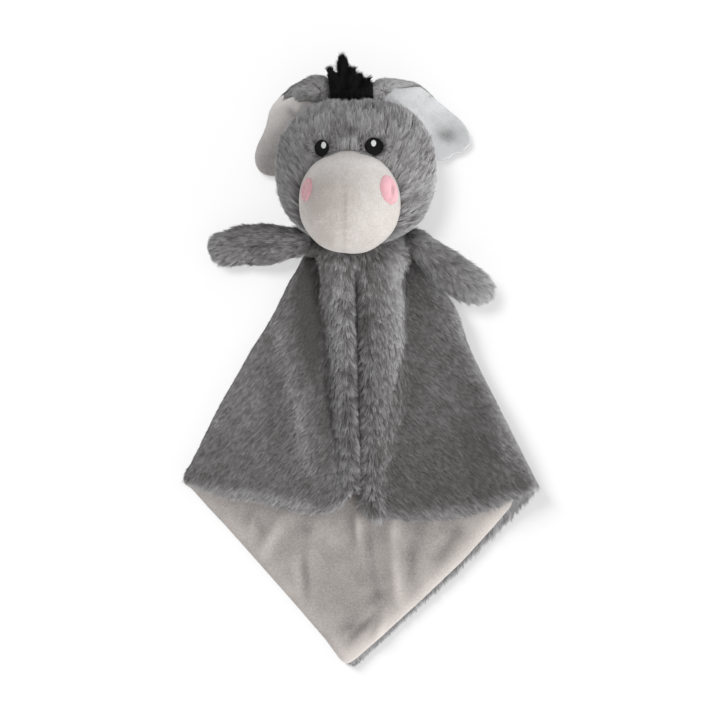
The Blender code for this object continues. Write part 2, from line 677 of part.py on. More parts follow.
def arms(plush, stuffing):
    reach = ARM_LENGTH_RIGHT * 2
    for side, word in ((-1, "left"), (1, "right")):
        inside = solid(f"arm inside {word}", arm_mesh(side, SKIN_WALL), CUTTERS)
        root_x = ARM_ROOT_X_LEFT if side < 0 else ARM_ROOT_X_RIGHT
        seam = (ARM_ROOT_Z + ARM_HALF_DEPTH) / 2 if side < 0 else ARM_ROOT_Z
        low, high = (root_x - reach, -reach, -reach), (root_x + reach, reach * 2, seam - SEAM_GAP / 2)
        halves = {"back": block(f"arm back region {word}", low, high)}
        low, high = (root_x - reach, -reach, seam + SEAM_GAP / 2), (root_x + reach, reach * 2, reach)
        halves["front"] = block(f"arm front region {word}", low, high)
        for half, region in halves.items():
            panel = solid(f"arm_{word}_{half}_panel", arm_mesh(side, 0.0), TOY, plush)
            combine(panel, inside)
            combine(panel, region, "INTERSECT")
        solid(f"arm_{word}_filling", arm_mesh(side, SKIN_WALL + SEAM_GAP), TOY, stuffing)


def neck(plush):
    """The gathered seam, hollowed where the arms rest against it and swing past it."""
    seam = roll("neck_gather", NECK_ROLL_RADIUS, NECK_ROLL_HALF_LENGTH, TOY, plush)
    shoulders = ((-1, ARM_ROOT_X_LEFT, ARM_HINGE_LEFT), (1, ARM_ROOT_X_RIGHT, ARM_HINGE_RIGHT))
    for side, x, hinge in shoulders:
        root = Vector((x, ARM_ROOT_Y, ARM_ROOT_Z))
        axis = Vector((math.cos(math.radians(hinge)), math.sin(math.radians(hinge)), 0))
        for lift in (0.0, ARM_LIFT / 2, ARM_LIFT):
            mesh = arm_mesh(side, -HINGE_GAP)
            turn = Matrix.Translation(root) @ Matrix.Rotation(math.radians(lift), 4, axis)
            bmesh.ops.transform(mesh, matrix=turn @ Matrix.Translation(-root), verts=mesh.verts)
            combine(seam, solid(f"room for arm {side} {lift:.0f}", mesh, CUTTERS))


clear_scene()
TOY = new_collection("comfort_blanket")
CUTTERS = new_collection("cutters")

grey = finish("grey plush", GREY_PLUSH, 0.95)
pale = finish("pale lining", PALE_LINING, 0.90)
ear_pale = finish("ear lining", PALE_VELBOA, 0.90)
cream = finish("muzzle velboa", PALE_VELBOA, 0.85)
white_stuffing = finish("stuffing", STUFFING_WHITE, 0.95)
black_pile = finish("mane plush", BLACK_THREAD, 0.80)
black = finish("black thread", BLACK_THREAD, 0.45)
white = finish("white thread", WHITE_THREAD, 0.50)
pink = finish("pink thread", PINK_THREAD, 0.60)

back_plush_panel(grey)
back_lining_panel(pale)
front_panels(grey, pale)
neck(grey)
head_outer = head(grey, cream, white_stuffing)
patches(black, white, pink)
ears(grey, ear_pale)
mane(black_pile, head_outer)
arms(grey, white_stuffing)
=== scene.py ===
# %% [markdown]
# # A comfort blanket with a donkey's head
#
# The real object is a small square of long-pile plush, lined with smooth cloth and folded into a cape, with
# a stuffed head, two ears, two arms and a black mane sewn to it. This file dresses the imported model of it.
# The frame comes first, because every piece below sits on a part of that model and moves with it.

# %% Load the frame
import json
import math
import random

import bmesh
import bpy
import numpy as np
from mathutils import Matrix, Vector

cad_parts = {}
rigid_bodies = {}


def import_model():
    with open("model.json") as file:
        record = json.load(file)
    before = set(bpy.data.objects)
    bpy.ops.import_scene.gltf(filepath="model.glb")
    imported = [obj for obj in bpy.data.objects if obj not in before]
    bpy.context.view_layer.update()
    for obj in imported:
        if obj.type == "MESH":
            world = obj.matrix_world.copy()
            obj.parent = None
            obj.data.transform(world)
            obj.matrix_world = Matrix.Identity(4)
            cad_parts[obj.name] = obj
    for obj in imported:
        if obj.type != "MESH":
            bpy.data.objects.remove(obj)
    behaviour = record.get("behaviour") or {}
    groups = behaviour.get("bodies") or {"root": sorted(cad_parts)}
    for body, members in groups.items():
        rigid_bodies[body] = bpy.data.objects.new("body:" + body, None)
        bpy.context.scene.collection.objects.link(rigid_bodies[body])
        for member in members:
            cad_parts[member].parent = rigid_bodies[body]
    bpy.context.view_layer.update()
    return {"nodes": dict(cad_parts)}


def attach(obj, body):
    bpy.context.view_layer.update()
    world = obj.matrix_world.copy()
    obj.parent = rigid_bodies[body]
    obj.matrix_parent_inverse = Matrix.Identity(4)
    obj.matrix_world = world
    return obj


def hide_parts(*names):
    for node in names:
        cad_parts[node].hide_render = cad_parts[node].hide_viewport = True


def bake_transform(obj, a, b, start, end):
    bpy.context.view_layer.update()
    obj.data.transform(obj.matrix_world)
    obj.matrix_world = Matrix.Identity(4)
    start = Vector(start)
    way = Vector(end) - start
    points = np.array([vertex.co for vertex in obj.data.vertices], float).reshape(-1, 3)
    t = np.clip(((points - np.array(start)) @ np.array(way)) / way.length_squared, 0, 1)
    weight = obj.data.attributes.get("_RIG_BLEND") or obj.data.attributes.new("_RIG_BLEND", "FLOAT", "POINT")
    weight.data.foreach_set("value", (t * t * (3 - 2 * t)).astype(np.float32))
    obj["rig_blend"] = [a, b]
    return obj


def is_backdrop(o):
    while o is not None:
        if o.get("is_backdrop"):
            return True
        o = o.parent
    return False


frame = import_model()

# %% [markdown]
# ## Camera, light and floor
#
# The toy lies on a white surface and is seen from straight above. A real studio would use a camera on an
# arm, a large soft window to the lower right of the toy and two small lamps that throw a faint shadow on the
# paper. All are suns with a wide disc, because their light doesn't depend on distance. With light linking the
# window lights only the toy and the other two only the floor: a low one for the shadow of the thin pieces and
# a high one for that of the tall ones, so that the shadow is about as wide all round.

# %% Camera straight above the toy
CAMERA_HEIGHT = 1.0      # metres above the floor
PICTURE_WIDTH = 0.414    # metres of floor across the picture

lens = bpy.data.cameras.new("camera_above")
lens.sensor_fit = "HORIZONTAL"
lens.angle = 2 * math.atan(PICTURE_WIDTH / 2 / CAMERA_HEIGHT)
lens.clip_start, lens.clip_end = 0.01, 20.0
camera = bpy.data.objects.new("camera_above", lens)
camera.location = (0.0, 0.0, CAMERA_HEIGHT)
bpy.context.scene.collection.objects.link(camera)
bpy.context.scene.camera = camera
bpy.context.scene.view_settings.view_transform = "Standard"
print(f"camera: {math.degrees(lens.angle):.1f} degrees across")

# %% Node helpers
def add(tree, kind, **settings):
    """Adds a node. A setting in capitals is one of its inputs."""
    made = tree.nodes.new(kind)
    for key, value in settings.items():
        if key[0].isupper():
            made.inputs[key.replace("_", " ")].default_value = value
        else:
            setattr(made, key, value)
    return made


def feed(tree, target, value):
    """Joins a socket to a target, or puts a plain value on it."""
    if isinstance(value, bpy.types.NodeSocket):
        tree.links.new(value, target)
    else:
        target.default_value = value


def calc(tree, operation, *values, vector=False, clamp=False):
    """A Math or Vector Math node; gives its output socket."""
    kind = "ShaderNodeVectorMath" if vector else "ShaderNodeMath"
    made = add(tree, kind, operation=operation)
    if clamp:
        made.use_clamp = True
    sockets = [made.inputs[0], made.inputs["Scale"]] if operation == "SCALE" else made.inputs
    for socket, value in zip(sockets, values):
        feed(tree, socket, value)
    return made.outputs["Value"] if vector and operation in ("DOT_PRODUCT", "LENGTH") else made.outputs[0]


def mix(tree, share, low, high, **settings):
    """A colour Mix node; gives its output socket."""
    made = add(tree, "ShaderNodeMix", data_type="RGBA", **settings)
    for k, value in ((0, share), (6, low), (7, high)):
        feed(tree, made.inputs[k], value)
    return made.outputs[2]

def new_tree(name, kind, inputs, outputs):
    """A node group with named inputs (name, socket kind, default) and outputs."""
    tree = bpy.data.node_groups.new(name, kind)
    for label, socket, default in inputs:
        made = tree.interface.new_socket(label, in_out="INPUT", socket_type=socket)
        if default is not None:
            made.default_value = default
    for label, socket in outputs:
        tree.interface.new_socket(label, in_out="OUTPUT", socket_type=socket)
    return tree, add(tree, "NodeGroupInput"), add(tree, "NodeGroupOutput")


print("node helpers ready")

# %% World light, brighter from the lower right
WORLD_LEVEL = 0.53
world = bpy.data.worlds.new("studio")
bpy.context.scene.world = world
world.use_nodes = True
sky = world.node_tree
sky.nodes.clear()
direction = add(sky, "ShaderNodeTexCoord").outputs["Generated"]
toward = calc(sky, "DOT_PRODUCT", direction, (0.62, -0.45, 0.64), vector=True)
level = calc(sky, "MULTIPLY_ADD", toward, 0.26, WORLD_LEVEL)
rays = add(sky, "ShaderNodeLightPath")
seen = calc(sky, "MAXIMUM", calc(sky, "MAXIMUM", rays.outputs["Is Camera Ray"], rays.outputs["Is Glossy Ray"]),
            rays.outputs["Is Transmission Ray"])
strength = add(sky, "ShaderNodeMix", data_type="FLOAT")
for socket, value in zip(strength.inputs, (seen, None, level, 1.0)):
    if value is not None:
        feed(sky, socket, value)
background = add(sky, "ShaderNodeBackground", Color=(1.0, 1.0, 1.0, 1.0))
feed(sky, background.inputs["Strength"], strength.outputs[0])
sky.links.new(background.outputs[0], add(sky, "ShaderNodeOutputWorld").inputs["Surface"])
print("world level", WORLD_LEVEL)

# %% Floor that stays white but keeps the shadow
floor_mesh = bpy.data.meshes.new("floor")
HALF_FLOOR = 3.0
floor_mesh.from_pydata([(-HALF_FLOOR, -HALF_FLOOR, 0), (HALF_FLOOR, -HALF_FLOOR, 0),
                        (HALF_FLOOR, HALF_FLOOR, 0), (-HALF_FLOOR, HALF_FLOOR, 0)], [], [(0, 1, 2, 3)])
floor = bpy.data.objects.new("floor", floor_mesh)
floor.location.z = -0.0003
bpy.context.scene.collection.objects.link(floor)
paper = bpy.data.materials.new("white paper")
paper.use_nodes = True
pulp = paper.node_tree
pulp.nodes.clear()
rays = add(pulp, "ShaderNodeLightPath")
glow = add(pulp, "ShaderNodeEmission", Color=(1.0, 1.0, 1.0, 1.0))
feed(pulp, glow.inputs["Strength"], calc(pulp, "MULTIPLY", rays.outputs["Is Camera Ray"], 0.25))
matt = add(pulp, "ShaderNodeBsdfDiffuse")
tone = add(pulp, "ShaderNodeMix", data_type="RGBA")
feed(pulp, tone.inputs[0], rays.outputs["Is Camera Ray"])
feed(pulp, tone.inputs[6], (0.80, 0.80, 0.80, 1.0))
feed(pulp, tone.inputs[7], (0.40, 0.40, 0.40, 1.0))
feed(pulp, matt.inputs["Color"], tone.outputs[2])
both = add(pulp, "ShaderNodeAddShader")
feed(pulp, both.inputs[0], glow.outputs[0])
feed(pulp, both.inputs[1], matt.outputs[0])
feed(pulp, add(pulp, "ShaderNodeOutputMaterial").inputs["Surface"], both.outputs[0])
floor_mesh.materials.append(paper)
floor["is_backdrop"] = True
print("floor", HALF_FLOOR * 2, "m across")

# %% Three suns
def sun(name, toward, disc, level, lights=None):
    """A sun lamp from a direction; it lights only the collection given, if there is one."""
    lamp = bpy.data.lights.new(name, "SUN")
    lamp.angle, lamp.energy = math.radians(disc), level * math.pi
    thing = bpy.data.objects.new(name, lamp)
    thing.rotation_euler = Vector(toward).to_track_quat("Z", "Y").to_euler()
    bpy.context.scene.collection.objects.link(thing)
    if lights is not None:
        thing.light_linking.receiver_collection = lights
    print(f"{name}: level {level}, disc {disc} degrees")
    return thing


paper_only = bpy.data.collections.new("lit_by_shadow_lamp")
paper_only.objects.link(floor)
all_but_paper = bpy.data.collections.new("lit_by_window")
all_but_paper.objects.link(floor)
sun("window", (0.66, -0.42, 0.70), 34.0, 0.58, all_but_paper)
all_but_paper.collection_objects[0].light_linking.link_state = "EXCLUDE"
low_lamp = sun("low_shadow_lamp", (-0.66, 0.59, 0.46), 22.0, 1.40, paper_only)
high_lamp = sun("high_shadow_lamp", (-0.29, 0.25, 0.92), 20.0, 0.68, paper_only)

# %% [markdown]
# ## Mesh helpers
#
# Soft toys are sewn skins over stuffing, so most pieces start as a closed smooth form. Where the packed
# model already has that form in coarse facets, a copy of it is remeshed into small even faces and smoothed,
# which keeps it in its place. Where a surface shows bare, it is drawn again from its own rule.

# %% Making and finishing plain meshes
def put(name, mesh, material=None):
    """Links a mesh as an object at the origin."""
    mesh.name = name
    thing = bpy.data.objects.new(name, mesh)
    bpy.context.scene.collection.objects.link(thing)
    if material is not None:
        mesh.materials.clear()
        mesh.materials.append(material)
    return thing


def from_points(name, points, faces, material=None):
    mesh = bpy.data.meshes.new(name)
    mesh.from_pydata([tuple(p) for p in points], [], faces)
    mesh.validate()
    mesh.shade_smooth()
    return put(name, mesh, material)


def applied(thing):
    """The object with its modifiers turned into plain mesh."""
    bpy.context.view_layer.update()
    graph = bpy.context.evaluated_depsgraph_get()
    mesh = bpy.data.meshes.new_from_object(thing.evaluated_get(graph), preserve_all_data_layers=True,
                                           depsgraph=graph)
    thing.modifiers.clear()
    old, thing.data = thing.data, mesh
    name = old.name
    bpy.data.meshes.remove(old)
    mesh.name = name
    return thing


def arrays(thing):
    """Vertex places and outward normals as arrays."""
    count = len(thing.data.vertices)
    place, normal = np.zeros(count * 3), np.zeros(count * 3)
    thing.data.vertices.foreach_get("co", place)
    thing.data.vertex_normals.foreach_get("vector", normal)
    return place.reshape(-1, 3), normal.reshape(-1, 3)


def move_to(thing, place):
    thing.data.vertices.foreach_set("co", np.asarray(place, float).ravel())
    thing.data.update()


def keep(thing, name, kind, values):
    """Stores a value for each vertex under a name."""
    layer = thing.data.attributes.get(name) or thing.data.attributes.new(name, kind, "POINT")
    layer.data.foreach_set("vector" if kind == "FLOAT_VECTOR" else "value",
                           np.asarray(values, np.float32).ravel())


print("mesh helpers ready")

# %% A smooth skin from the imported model's own solids
def skin_from(name, nodes, cell, rounds, material, extra=()):
    """Copies nodes (and extra meshes) into one form, remeshes it in cells of that size and smooths it."""
    mesh = bmesh.new()
    for source in [frame["nodes"][n].data for n in nodes] + list(extra):
        mesh.from_mesh(source)
    bmesh.ops.remove_doubles(mesh, verts=mesh.verts, dist=1e-6)
    data = bpy.data.meshes.new(name)
    mesh.to_mesh(data)
    mesh.free()
    thing = put(name, data, material)
    remesh = thing.modifiers.new("even faces", "REMESH")
    remesh.mode, remesh.voxel_size, remesh.use_smooth_shade = "VOXEL", cell, True
    if rounds:
        relax = thing.modifiers.new("relax", "SMOOTH")
        relax.factor, relax.iterations = 0.5, rounds
    applied(thing)
    thing.data.materials.clear()
    thing.data.materials.append(material)
    thing.data.shade_smooth()
    print(f"{name}: {len(thing.data.polygons)} faces")
    return thing


# %% [markdown]
# ## Materials
#
# Plush pile is hair: dense at the foot and paler at the tip, and its dark foot is partly painted shade, for the
# shade deep in the dense pile. Each strand below carries its own map, with a shade across it, which holds a
# random tone and the painted light and shade of its place, and the way from foot to tip along it, and one node
# group turns that map into colour for the grey pile and the black mane alike. The smooth cloths are knitted and
# brushed, so theirs is a fine grain in the bump with a soft cloudy change of colour, mixed with the painted light
# and shade that each piece carries.

# %% Node groups that several materials share
def pile_colour_group():
    tree, given, out = new_tree("pile colour", "ShaderNodeTree", [
        ("Foot", "NodeSocketColor", (0.05, 0.05, 0.05, 1)), ("Middle", "NodeSocketColor", (0.2, 0.2, 0.2, 1)),
        ("Tip", "NodeSocketColor", (0.3, 0.3, 0.3, 1)), ("Dark Strand", "NodeSocketColor", (0.6, 0.6, 0.6, 1)),
        ("Pale Strand", "NodeSocketColor", (1.3, 1.3, 1.3, 1)),
    ], [("Colour", "NodeSocketColor")])
    split = add(tree, "ShaderNodeSeparateXYZ")
    feed(tree, split.inputs[0], add(tree, "ShaderNodeUVMap", uv_map="OFBake").outputs[0])
    lower = calc(tree, "MULTIPLY", split.outputs["Y"], 2.2, clamp=True)
    upper = calc(tree, "MULTIPLY_ADD", split.outputs["Y"], 2.0, -1.0, clamp=True)
    low = mix(tree, lower, given.outputs["Foot"], given.outputs["Middle"])
    high = mix(tree, upper, low, given.outputs["Tip"])
    shade = mix(tree, split.outputs["X"], given.outputs["Dark Strand"], given.outputs["Pale Strand"])
    feed(tree, out.inputs["Colour"], mix(tree, 1.0, high, shade, blend_type="MULTIPLY"))
    return tree


def nap_group():
    """Cloth nap: cloudy colour and a fine grain to bump, mixed towards the shadow colour by the painted light and
    shade that a piece carries.
    """
    tree, given, out = new_tree("brushed nap", "ShaderNodeTree", [
        ("Colour", "NodeSocketColor", (0.6, 0.6, 0.6, 1)), ("Shadow", "NodeSocketColor", (0.4, 0.4, 0.4, 1)),
        ("Cloud Scale", "NodeSocketFloat", 60.0), ("Cloud Amount", "NodeSocketFloat", 0.5),
        ("Grain Scale", "NodeSocketFloat", 1800.0), ("Grain Amount", "NodeSocketFloat", 0.3),
        ("Painted Light And Shade", "NodeSocketFloat", 0.0),
    ], [("Colour", "NodeSocketColor"), ("Height", "NodeSocketFloat"), ("Roughness", "NodeSocketFloat")])
    place = add(tree, "ShaderNodeTexCoord").outputs["Object"]
    cloud = add(tree, "ShaderNodeTexNoise", Detail=3.0, Roughness=0.6)
    feed(tree, cloud.inputs["Vector"], place)
    feed(tree, cloud.inputs["Scale"], given.outputs["Cloud Scale"])
    grain = add(tree, "ShaderNodeTexNoise", Detail=2.0, Roughness=0.7)
    feed(tree, grain.inputs["Vector"], place)
    feed(tree, grain.inputs["Scale"], given.outputs["Grain Scale"])
    spread = calc(tree, "MULTIPLY_ADD", cloud.outputs[0], 2.4, -0.7, clamp=True)
    fleck = calc(tree, "MULTIPLY", calc(tree, "SUBTRACT", grain.outputs[0], 0.5), given.outputs["Grain Amount"])
    amount = calc(tree, "MULTIPLY_ADD", spread, given.outputs["Cloud Amount"], fleck)
    # The cloth's own cloudy mottle plus the painted light and shade that a piece carries
    brushed_and_painted = calc(tree, "ADD", amount, given.outputs["Painted Light And Shade"], clamp=True)
    feed(tree, out.inputs["Colour"], mix(tree, brushed_and_painted, given.outputs["Colour"], given.outputs["Shadow"]))
    feed(tree, out.inputs["Height"], calc(tree, "MULTIPLY_ADD", grain.outputs[0], 0.8,
                                          calc(tree, "MULTIPLY", cloud.outputs[0], 0.2)))
    feed(tree, out.inputs["Roughness"], calc(tree, "MULTIPLY_ADD", grain.outputs[0], 0.16, 0.76))
    return tree


PILE_COLOUR, NAP = pile_colour_group(), nap_group()
print("shared groups:", PILE_COLOUR.name, "and", NAP.name)

# %% Materials of the toy
def new_material(name, roughness, specular=0.3, sheen=0.0):
    made = bpy.data.materials.new(name)
    made.use_nodes = True
    shader = made.node_tree.nodes["Principled BSDF"]
    shader.inputs["Roughness"].default_value = roughness
    shader.inputs["Specular IOR Level"].default_value = specular
    shader.inputs["Sheen Weight"].default_value = sheen
    shader.inputs["Sheen Roughness"].default_value = 0.5
    return made, made.node_tree, shader


def pile_material(name, foot, middle, tip, dark, pale, specular, sheen):
    made, tree, shader = new_material(name, 0.85, specular, sheen)
    colour = add(tree, "ShaderNodeGroup", node_tree=PILE_COLOUR)
    for label, value in (("Foot", foot), ("Middle", middle), ("Tip", tip), ("Dark Strand", dark),
                         ("Pale Strand", pale)):
        colour.inputs[label].default_value = (*value, 1.0)
    feed(tree, shader.inputs["Base Color"], colour.outputs["Colour"])
    return made


def cloth_material(name, colour, shadow, cloud, amount, grain, depth, sheen=0.25, flecks=0.3):
    made, tree, shader = new_material(name, 0.85, 0.2, sheen)
    nap = add(tree, "ShaderNodeGroup", node_tree=NAP)
    nap.inputs["Colour"].default_value = (*colour, 1.0)
    nap.inputs["Shadow"].default_value = (*shadow, 1.0)
    nap.inputs["Cloud Scale"].default_value = cloud
    nap.inputs["Cloud Amount"].default_value = amount
    nap.inputs["Grain Scale"].default_value = grain
    nap.inputs["Grain Amount"].default_value = flecks
    # Each piece's painted light and shade, kept on its vertices
    feed(tree, nap.inputs["Painted Light And Shade"], add(tree, "ShaderNodeAttribute", attribute_name="painted_light_and_shade").outputs["Fac"])
    bump = add(tree, "ShaderNodeBump")
    bump.inputs["Strength"].default_value = 0.5
    bump.inputs["Distance"].default_value = depth
    feed(tree, bump.inputs["Height"], nap.outputs["Height"])
    feed(tree, shader.inputs["Normal"], bump.outputs[0])
    feed(tree, shader.inputs["Roughness"], nap.outputs["Roughness"])
    feed(tree, shader.inputs["Base Color"], nap.outputs["Colour"])
    return made


# The foot is darker than the tip, partly as painted shade of the dense pile
grey_pile = pile_material("grey pile", (0.100, 0.094, 0.090), (0.267, 0.262, 0.261), (0.417, 0.415, 0.419),
                          (0.382, 0.364, 0.355), (1.61, 1.61, 1.63), 0.15, 0.12)
black_pile = pile_material("black mane pile", (0.002, 0.002, 0.002), (0.004, 0.004, 0.004),
                           (0.007, 0.007, 0.0075), (0.4, 0.4, 0.4), (1.6, 1.6, 1.6), 0.12, 0.0)
# The backing is nearly black as painted shade: it stands for the shade deep in the pile, where the skin shows between
# strands
grey_backing = cloth_material("plush backing", (0.110, 0.104, 0.100), (0.070, 0.066, 0.063), 90.0, 0.8,
                              1500.0, 0.0004, 0.0)
lining_cloth = cloth_material("blanket lining", (0.640, 0.590, 0.560), (0.190, 0.176, 0.168), 75.0, 0.18,
                              950.0, 0.00025, flecks=0.65)
# The left lining is a paler, warmer copy: painted light for its outer edge, which lies in the head's shadow from the
# window; the painted shade attribute darkens its inside again
EAR_CLOTH = {-1: cloth_material("ear lining in shade", (0.860, 0.825, 0.800), (0.262, 0.250, 0.243), 130.0, 0.16,
                                950.0, 0.0005, flecks=0.5),
             1: cloth_material("ear lining", (0.615, 0.625, 0.635), (0.250, 0.247, 0.244), 150.0, 0.24,
                               950.0, 0.0005, flecks=0.5)}
muzzle_cloth = cloth_material("muzzle velboa", (0.745, 0.720, 0.700), (0.480, 0.432, 0.404), 150.0, 0.24,
                              900.0, 0.0003, flecks=1.0)
pink_thread = cloth_material("pink thread", (0.870, 0.490, 0.540), (0.560, 0.330, 0.350), 320.0, 0.24,
                             1500.0, 0.0002, flecks=0.8)
black_thread = cloth_material("black thread", (0.008, 0.008, 0.009), (0.002, 0.002, 0.002), 700.0, 0.8,
                              2600.0, 0.0002, 0.0)
white_thread = cloth_material("white thread", (0.800, 0.810, 0.820), (0.600, 0.610, 0.620), 700.0, 0.5,
                              2600.0, 0.0002)
stuffing = cloth_material("polyester stuffing", (0.850, 0.850, 0.830), (0.700, 0.700, 0.690), 200.0, 0.5,
                          900.0, 0.0005)
print("materials:", len(bpy.data.materials))

# %% [markdown]
# ## The pile
#
# The pile is what makes this toy look like itself. It could be a particle system, but a strand of plain mesh
# can be exported, so Geometry Nodes scatter roots over a skin, stand a narrow blade on each root and bend it
# along the direction in which the pile was brushed. The tips of neighbours are pulled together, because real
# pile parts into small tufts. The skin carries the brushing direction, whose length is the strand's length.

# %% Node tree that grows the pile
LOWEST = 0.0003    # metres; no strand dips below this level

def grow_pile_tree():
    tree, given, out = new_tree("grow pile", "GeometryNodeTree", [
        ("Geometry", "NodeSocketGeometry", None), ("Strands Per Square Metre", "NodeSocketFloat", 3e6),
        ("Strand Width", "NodeSocketFloat", 0.0004), ("Tuft Spacing", "NodeSocketFloat", 0.0022),
        ("Tuft Pull", "NodeSocketFloat", 0.6), ("Scatter", "NodeSocketFloat", 0.25),
        ("Shade Grain", "NodeSocketFloat", 120.0), ("Segments", "NodeSocketInt", 2),
        ("Seed", "NodeSocketInt", 1), ("Material", "NodeSocketMaterial", None),
    ], [("Geometry", "NodeSocketGeometry")])
    wants = given.outputs

    def named(label, kind="FLOAT"):
        return add(tree, "GeometryNodeInputNamedAttribute", data_type=kind, Name=label).outputs[0]

    def store(geometry, label, kind, value, domain="POINT"):
        made = add(tree, "GeometryNodeStoreNamedAttribute", data_type=kind, domain=domain)
        made.inputs["Name"].default_value = label
        feed(tree, made.inputs["Geometry"], geometry)
        feed(tree, made.inputs["Value"], value)
        return made.outputs[0]

    place = add(tree, "GeometryNodeInputPosition").outputs[0]
    share = named("pile_density")
    roots = add(tree, "GeometryNodeDistributePointsOnFaces", distribute_method="RANDOM")
    feed(tree, roots.inputs["Mesh"], wants["Geometry"])
    feed(tree, roots.inputs["Density"], calc(tree, "MULTIPLY", share, wants["Strands Per Square Metre"]))
    feed(tree, roots.inputs["Seed"], wants["Seed"])
    tufts = add(tree, "GeometryNodeDistributePointsOnFaces", distribute_method="POISSON")
    feed(tree, tufts.inputs["Mesh"], wants["Geometry"])
    feed(tree, tufts.inputs["Distance Min"], wants["Tuft Spacing"])
    feed(tree, tufts.inputs["Density Max"], calc(tree, "DIVIDE", 3.0, calc(tree, "POWER", wants["Tuft Spacing"], 2.0)))
    feed(tree, tufts.inputs["Density Factor"], calc(tree, "GREATER_THAN", share, 0.01))
    feed(tree, tufts.inputs["Seed"], calc(tree, "ADD", wants["Seed"], 7.0))
    near = add(tree, "GeometryNodeSampleNearest", domain="POINT")
    feed(tree, near.inputs[0], tufts.outputs["Points"])
    tuft = add(tree, "GeometryNodeSampleIndex", data_type="FLOAT_VECTOR", domain="POINT")
    feed(tree, tuft.inputs["Geometry"], tufts.outputs["Points"])
    feed(tree, tuft.inputs["Value"], place)
    feed(tree, tuft.inputs["Index"], near.outputs[0])

    def chance(kind, low, high, ident=None, shift=0.0):
        made = add(tree, "FunctionNodeRandomValue", data_type=kind)
        made.inputs[0 if kind == "FLOAT_VECTOR" else 2].default_value = low
        made.inputs[1 if kind == "FLOAT_VECTOR" else 3].default_value = high
        if ident is not None:
            feed(tree, made.inputs["ID"], ident)
        feed(tree, made.inputs["Seed"], calc(tree, "ADD", wants["Seed"], shift))
        return made.outputs[0 if kind == "FLOAT_VECTOR" else 1]

    cloud = add(tree, "ShaderNodeTexNoise", Detail=2.0)
    feed(tree, cloud.inputs["Scale"], wants["Shade Grain"])
    feed(tree, cloud.inputs["Vector"], place)
    shade = calc(tree, "MULTIPLY_ADD", chance("FLOAT", 0.0, 1.0, shift=3.0), 0.50, -0.25)
    of_tuft = chance("FLOAT", 0.0, 1.0, near.outputs[0], 5.0)
    shade = calc(tree, "ADD", shade, calc(tree, "MULTIPLY_ADD", of_tuft, 0.42, -0.21))
    shade = calc(tree, "ADD", shade, calc(tree, "MULTIPLY_ADD", cloud.outputs[0], 0.44, -0.22))
    # pile_shade carries the painted light and shade of each place, on top of the random tone
    shade = calc(tree, "MULTIPLY_ADD", shade, named("pile_contrast"), named("pile_shade"), clamp=True)
    points = roots.outputs["Points"]
    for label, kind, value in (
            ("root", "FLOAT_VECTOR", place), ("up", "FLOAT_VECTOR", roots.outputs["Normal"]),
            ("tuft", "FLOAT_VECTOR", tuft.outputs[0]), ("shade", "FLOAT", shade),
            ("lean", "FLOAT_VECTOR", chance("FLOAT_VECTOR", (-1, -1, -1), (1, 1, 1), shift=11.0)),
            ("luck", "FLOAT", chance("FLOAT", 0.68, 1.22, shift=13.0)),
            ("tuft_luck", "FLOAT", chance("FLOAT", 0.85, 1.15, near.outputs[0], 17.0)),
            ("tuft_lean", "FLOAT_VECTOR", chance("FLOAT_VECTOR", (-1, -1, -1), (1, 1, 1), near.outputs[0], 19.0))):
        points = store(points, label, kind, value)

    blade = add(tree, "GeometryNodeMeshGrid")
    blade.inputs["Vertices X"].default_value = 2
    feed(tree, blade.inputs["Vertices Y"], calc(tree, "ADD", wants["Segments"], 1.0))
    card = store(blade.outputs["Mesh"], "blade", "FLOAT_VECTOR",
                 calc(tree, "ADD", place, (0.0, 0.5, 0.0), vector=True))
    stand = add(tree, "GeometryNodeInstanceOnPoints")
    feed(tree, stand.inputs["Points"], points)
    feed(tree, stand.inputs["Instance"], card)
    real = add(tree, "GeometryNodeRealizeInstances").outputs[0]
    feed(tree, real.node.inputs[0], stand.outputs[0])

    split = add(tree, "ShaderNodeSeparateXYZ")
    feed(tree, split.inputs[0], named("blade", "FLOAT_VECTOR"))
    across, along = split.outputs["X"], split.outputs["Y"]
    up, brush = named("up", "FLOAT_VECTOR"), named("pile", "FLOAT_VECTOR")
    length = calc(tree, "MULTIPLY", calc(tree, "LENGTH", brush, vector=True),
                  calc(tree, "MULTIPLY", named("luck"), named("tuft_luck")))
    level = calc(tree, "SCALE", up, calc(tree, "DOT_PRODUCT", up, brush, vector=True), vector=True)
    flat = calc(tree, "NORMALIZE", calc(tree, "SUBTRACT", brush, level, vector=True), vector=True)
    stray = calc(tree, "ADD", named("lean", "FLOAT_VECTOR"), named("tuft_lean", "FLOAT_VECTOR"), vector=True)
    off_skin = calc(tree, "MULTIPLY", calc(tree, "DOT_PRODUCT", stray, up, vector=True), 0.75)
    stray = calc(tree, "SUBTRACT", stray, calc(tree, "SCALE", up, off_skin, vector=True), vector=True)
    flat = calc(tree, "ADD", flat, calc(tree, "SCALE", stray, wants["Scatter"], vector=True), vector=True)
    flat = calc(tree, "NORMALIZE", flat, vector=True)
    side = calc(tree, "NORMALIZE", calc(tree, "CROSS_PRODUCT", flat, up, vector=True), vector=True)
    squared = calc(tree, "MULTIPLY", along, along)
    lift = named("pile_lift")
    rise = calc(tree, "MULTIPLY", calc(tree, "MULTIPLY", length, lift),
                calc(tree, "SUBTRACT", calc(tree, "MULTIPLY", along, 1.7), calc(tree, "MULTIPLY", squared, 0.7)))
    ahead = calc(tree, "SQRT", calc(tree, "SUBTRACT", 1.0, calc(tree, "MULTIPLY", lift, lift)))
    run = calc(tree, "MULTIPLY", calc(tree, "MULTIPLY", length, ahead),
               calc(tree, "ADD", calc(tree, "MULTIPLY", along, 0.5), calc(tree, "MULTIPLY", squared, 0.5)))
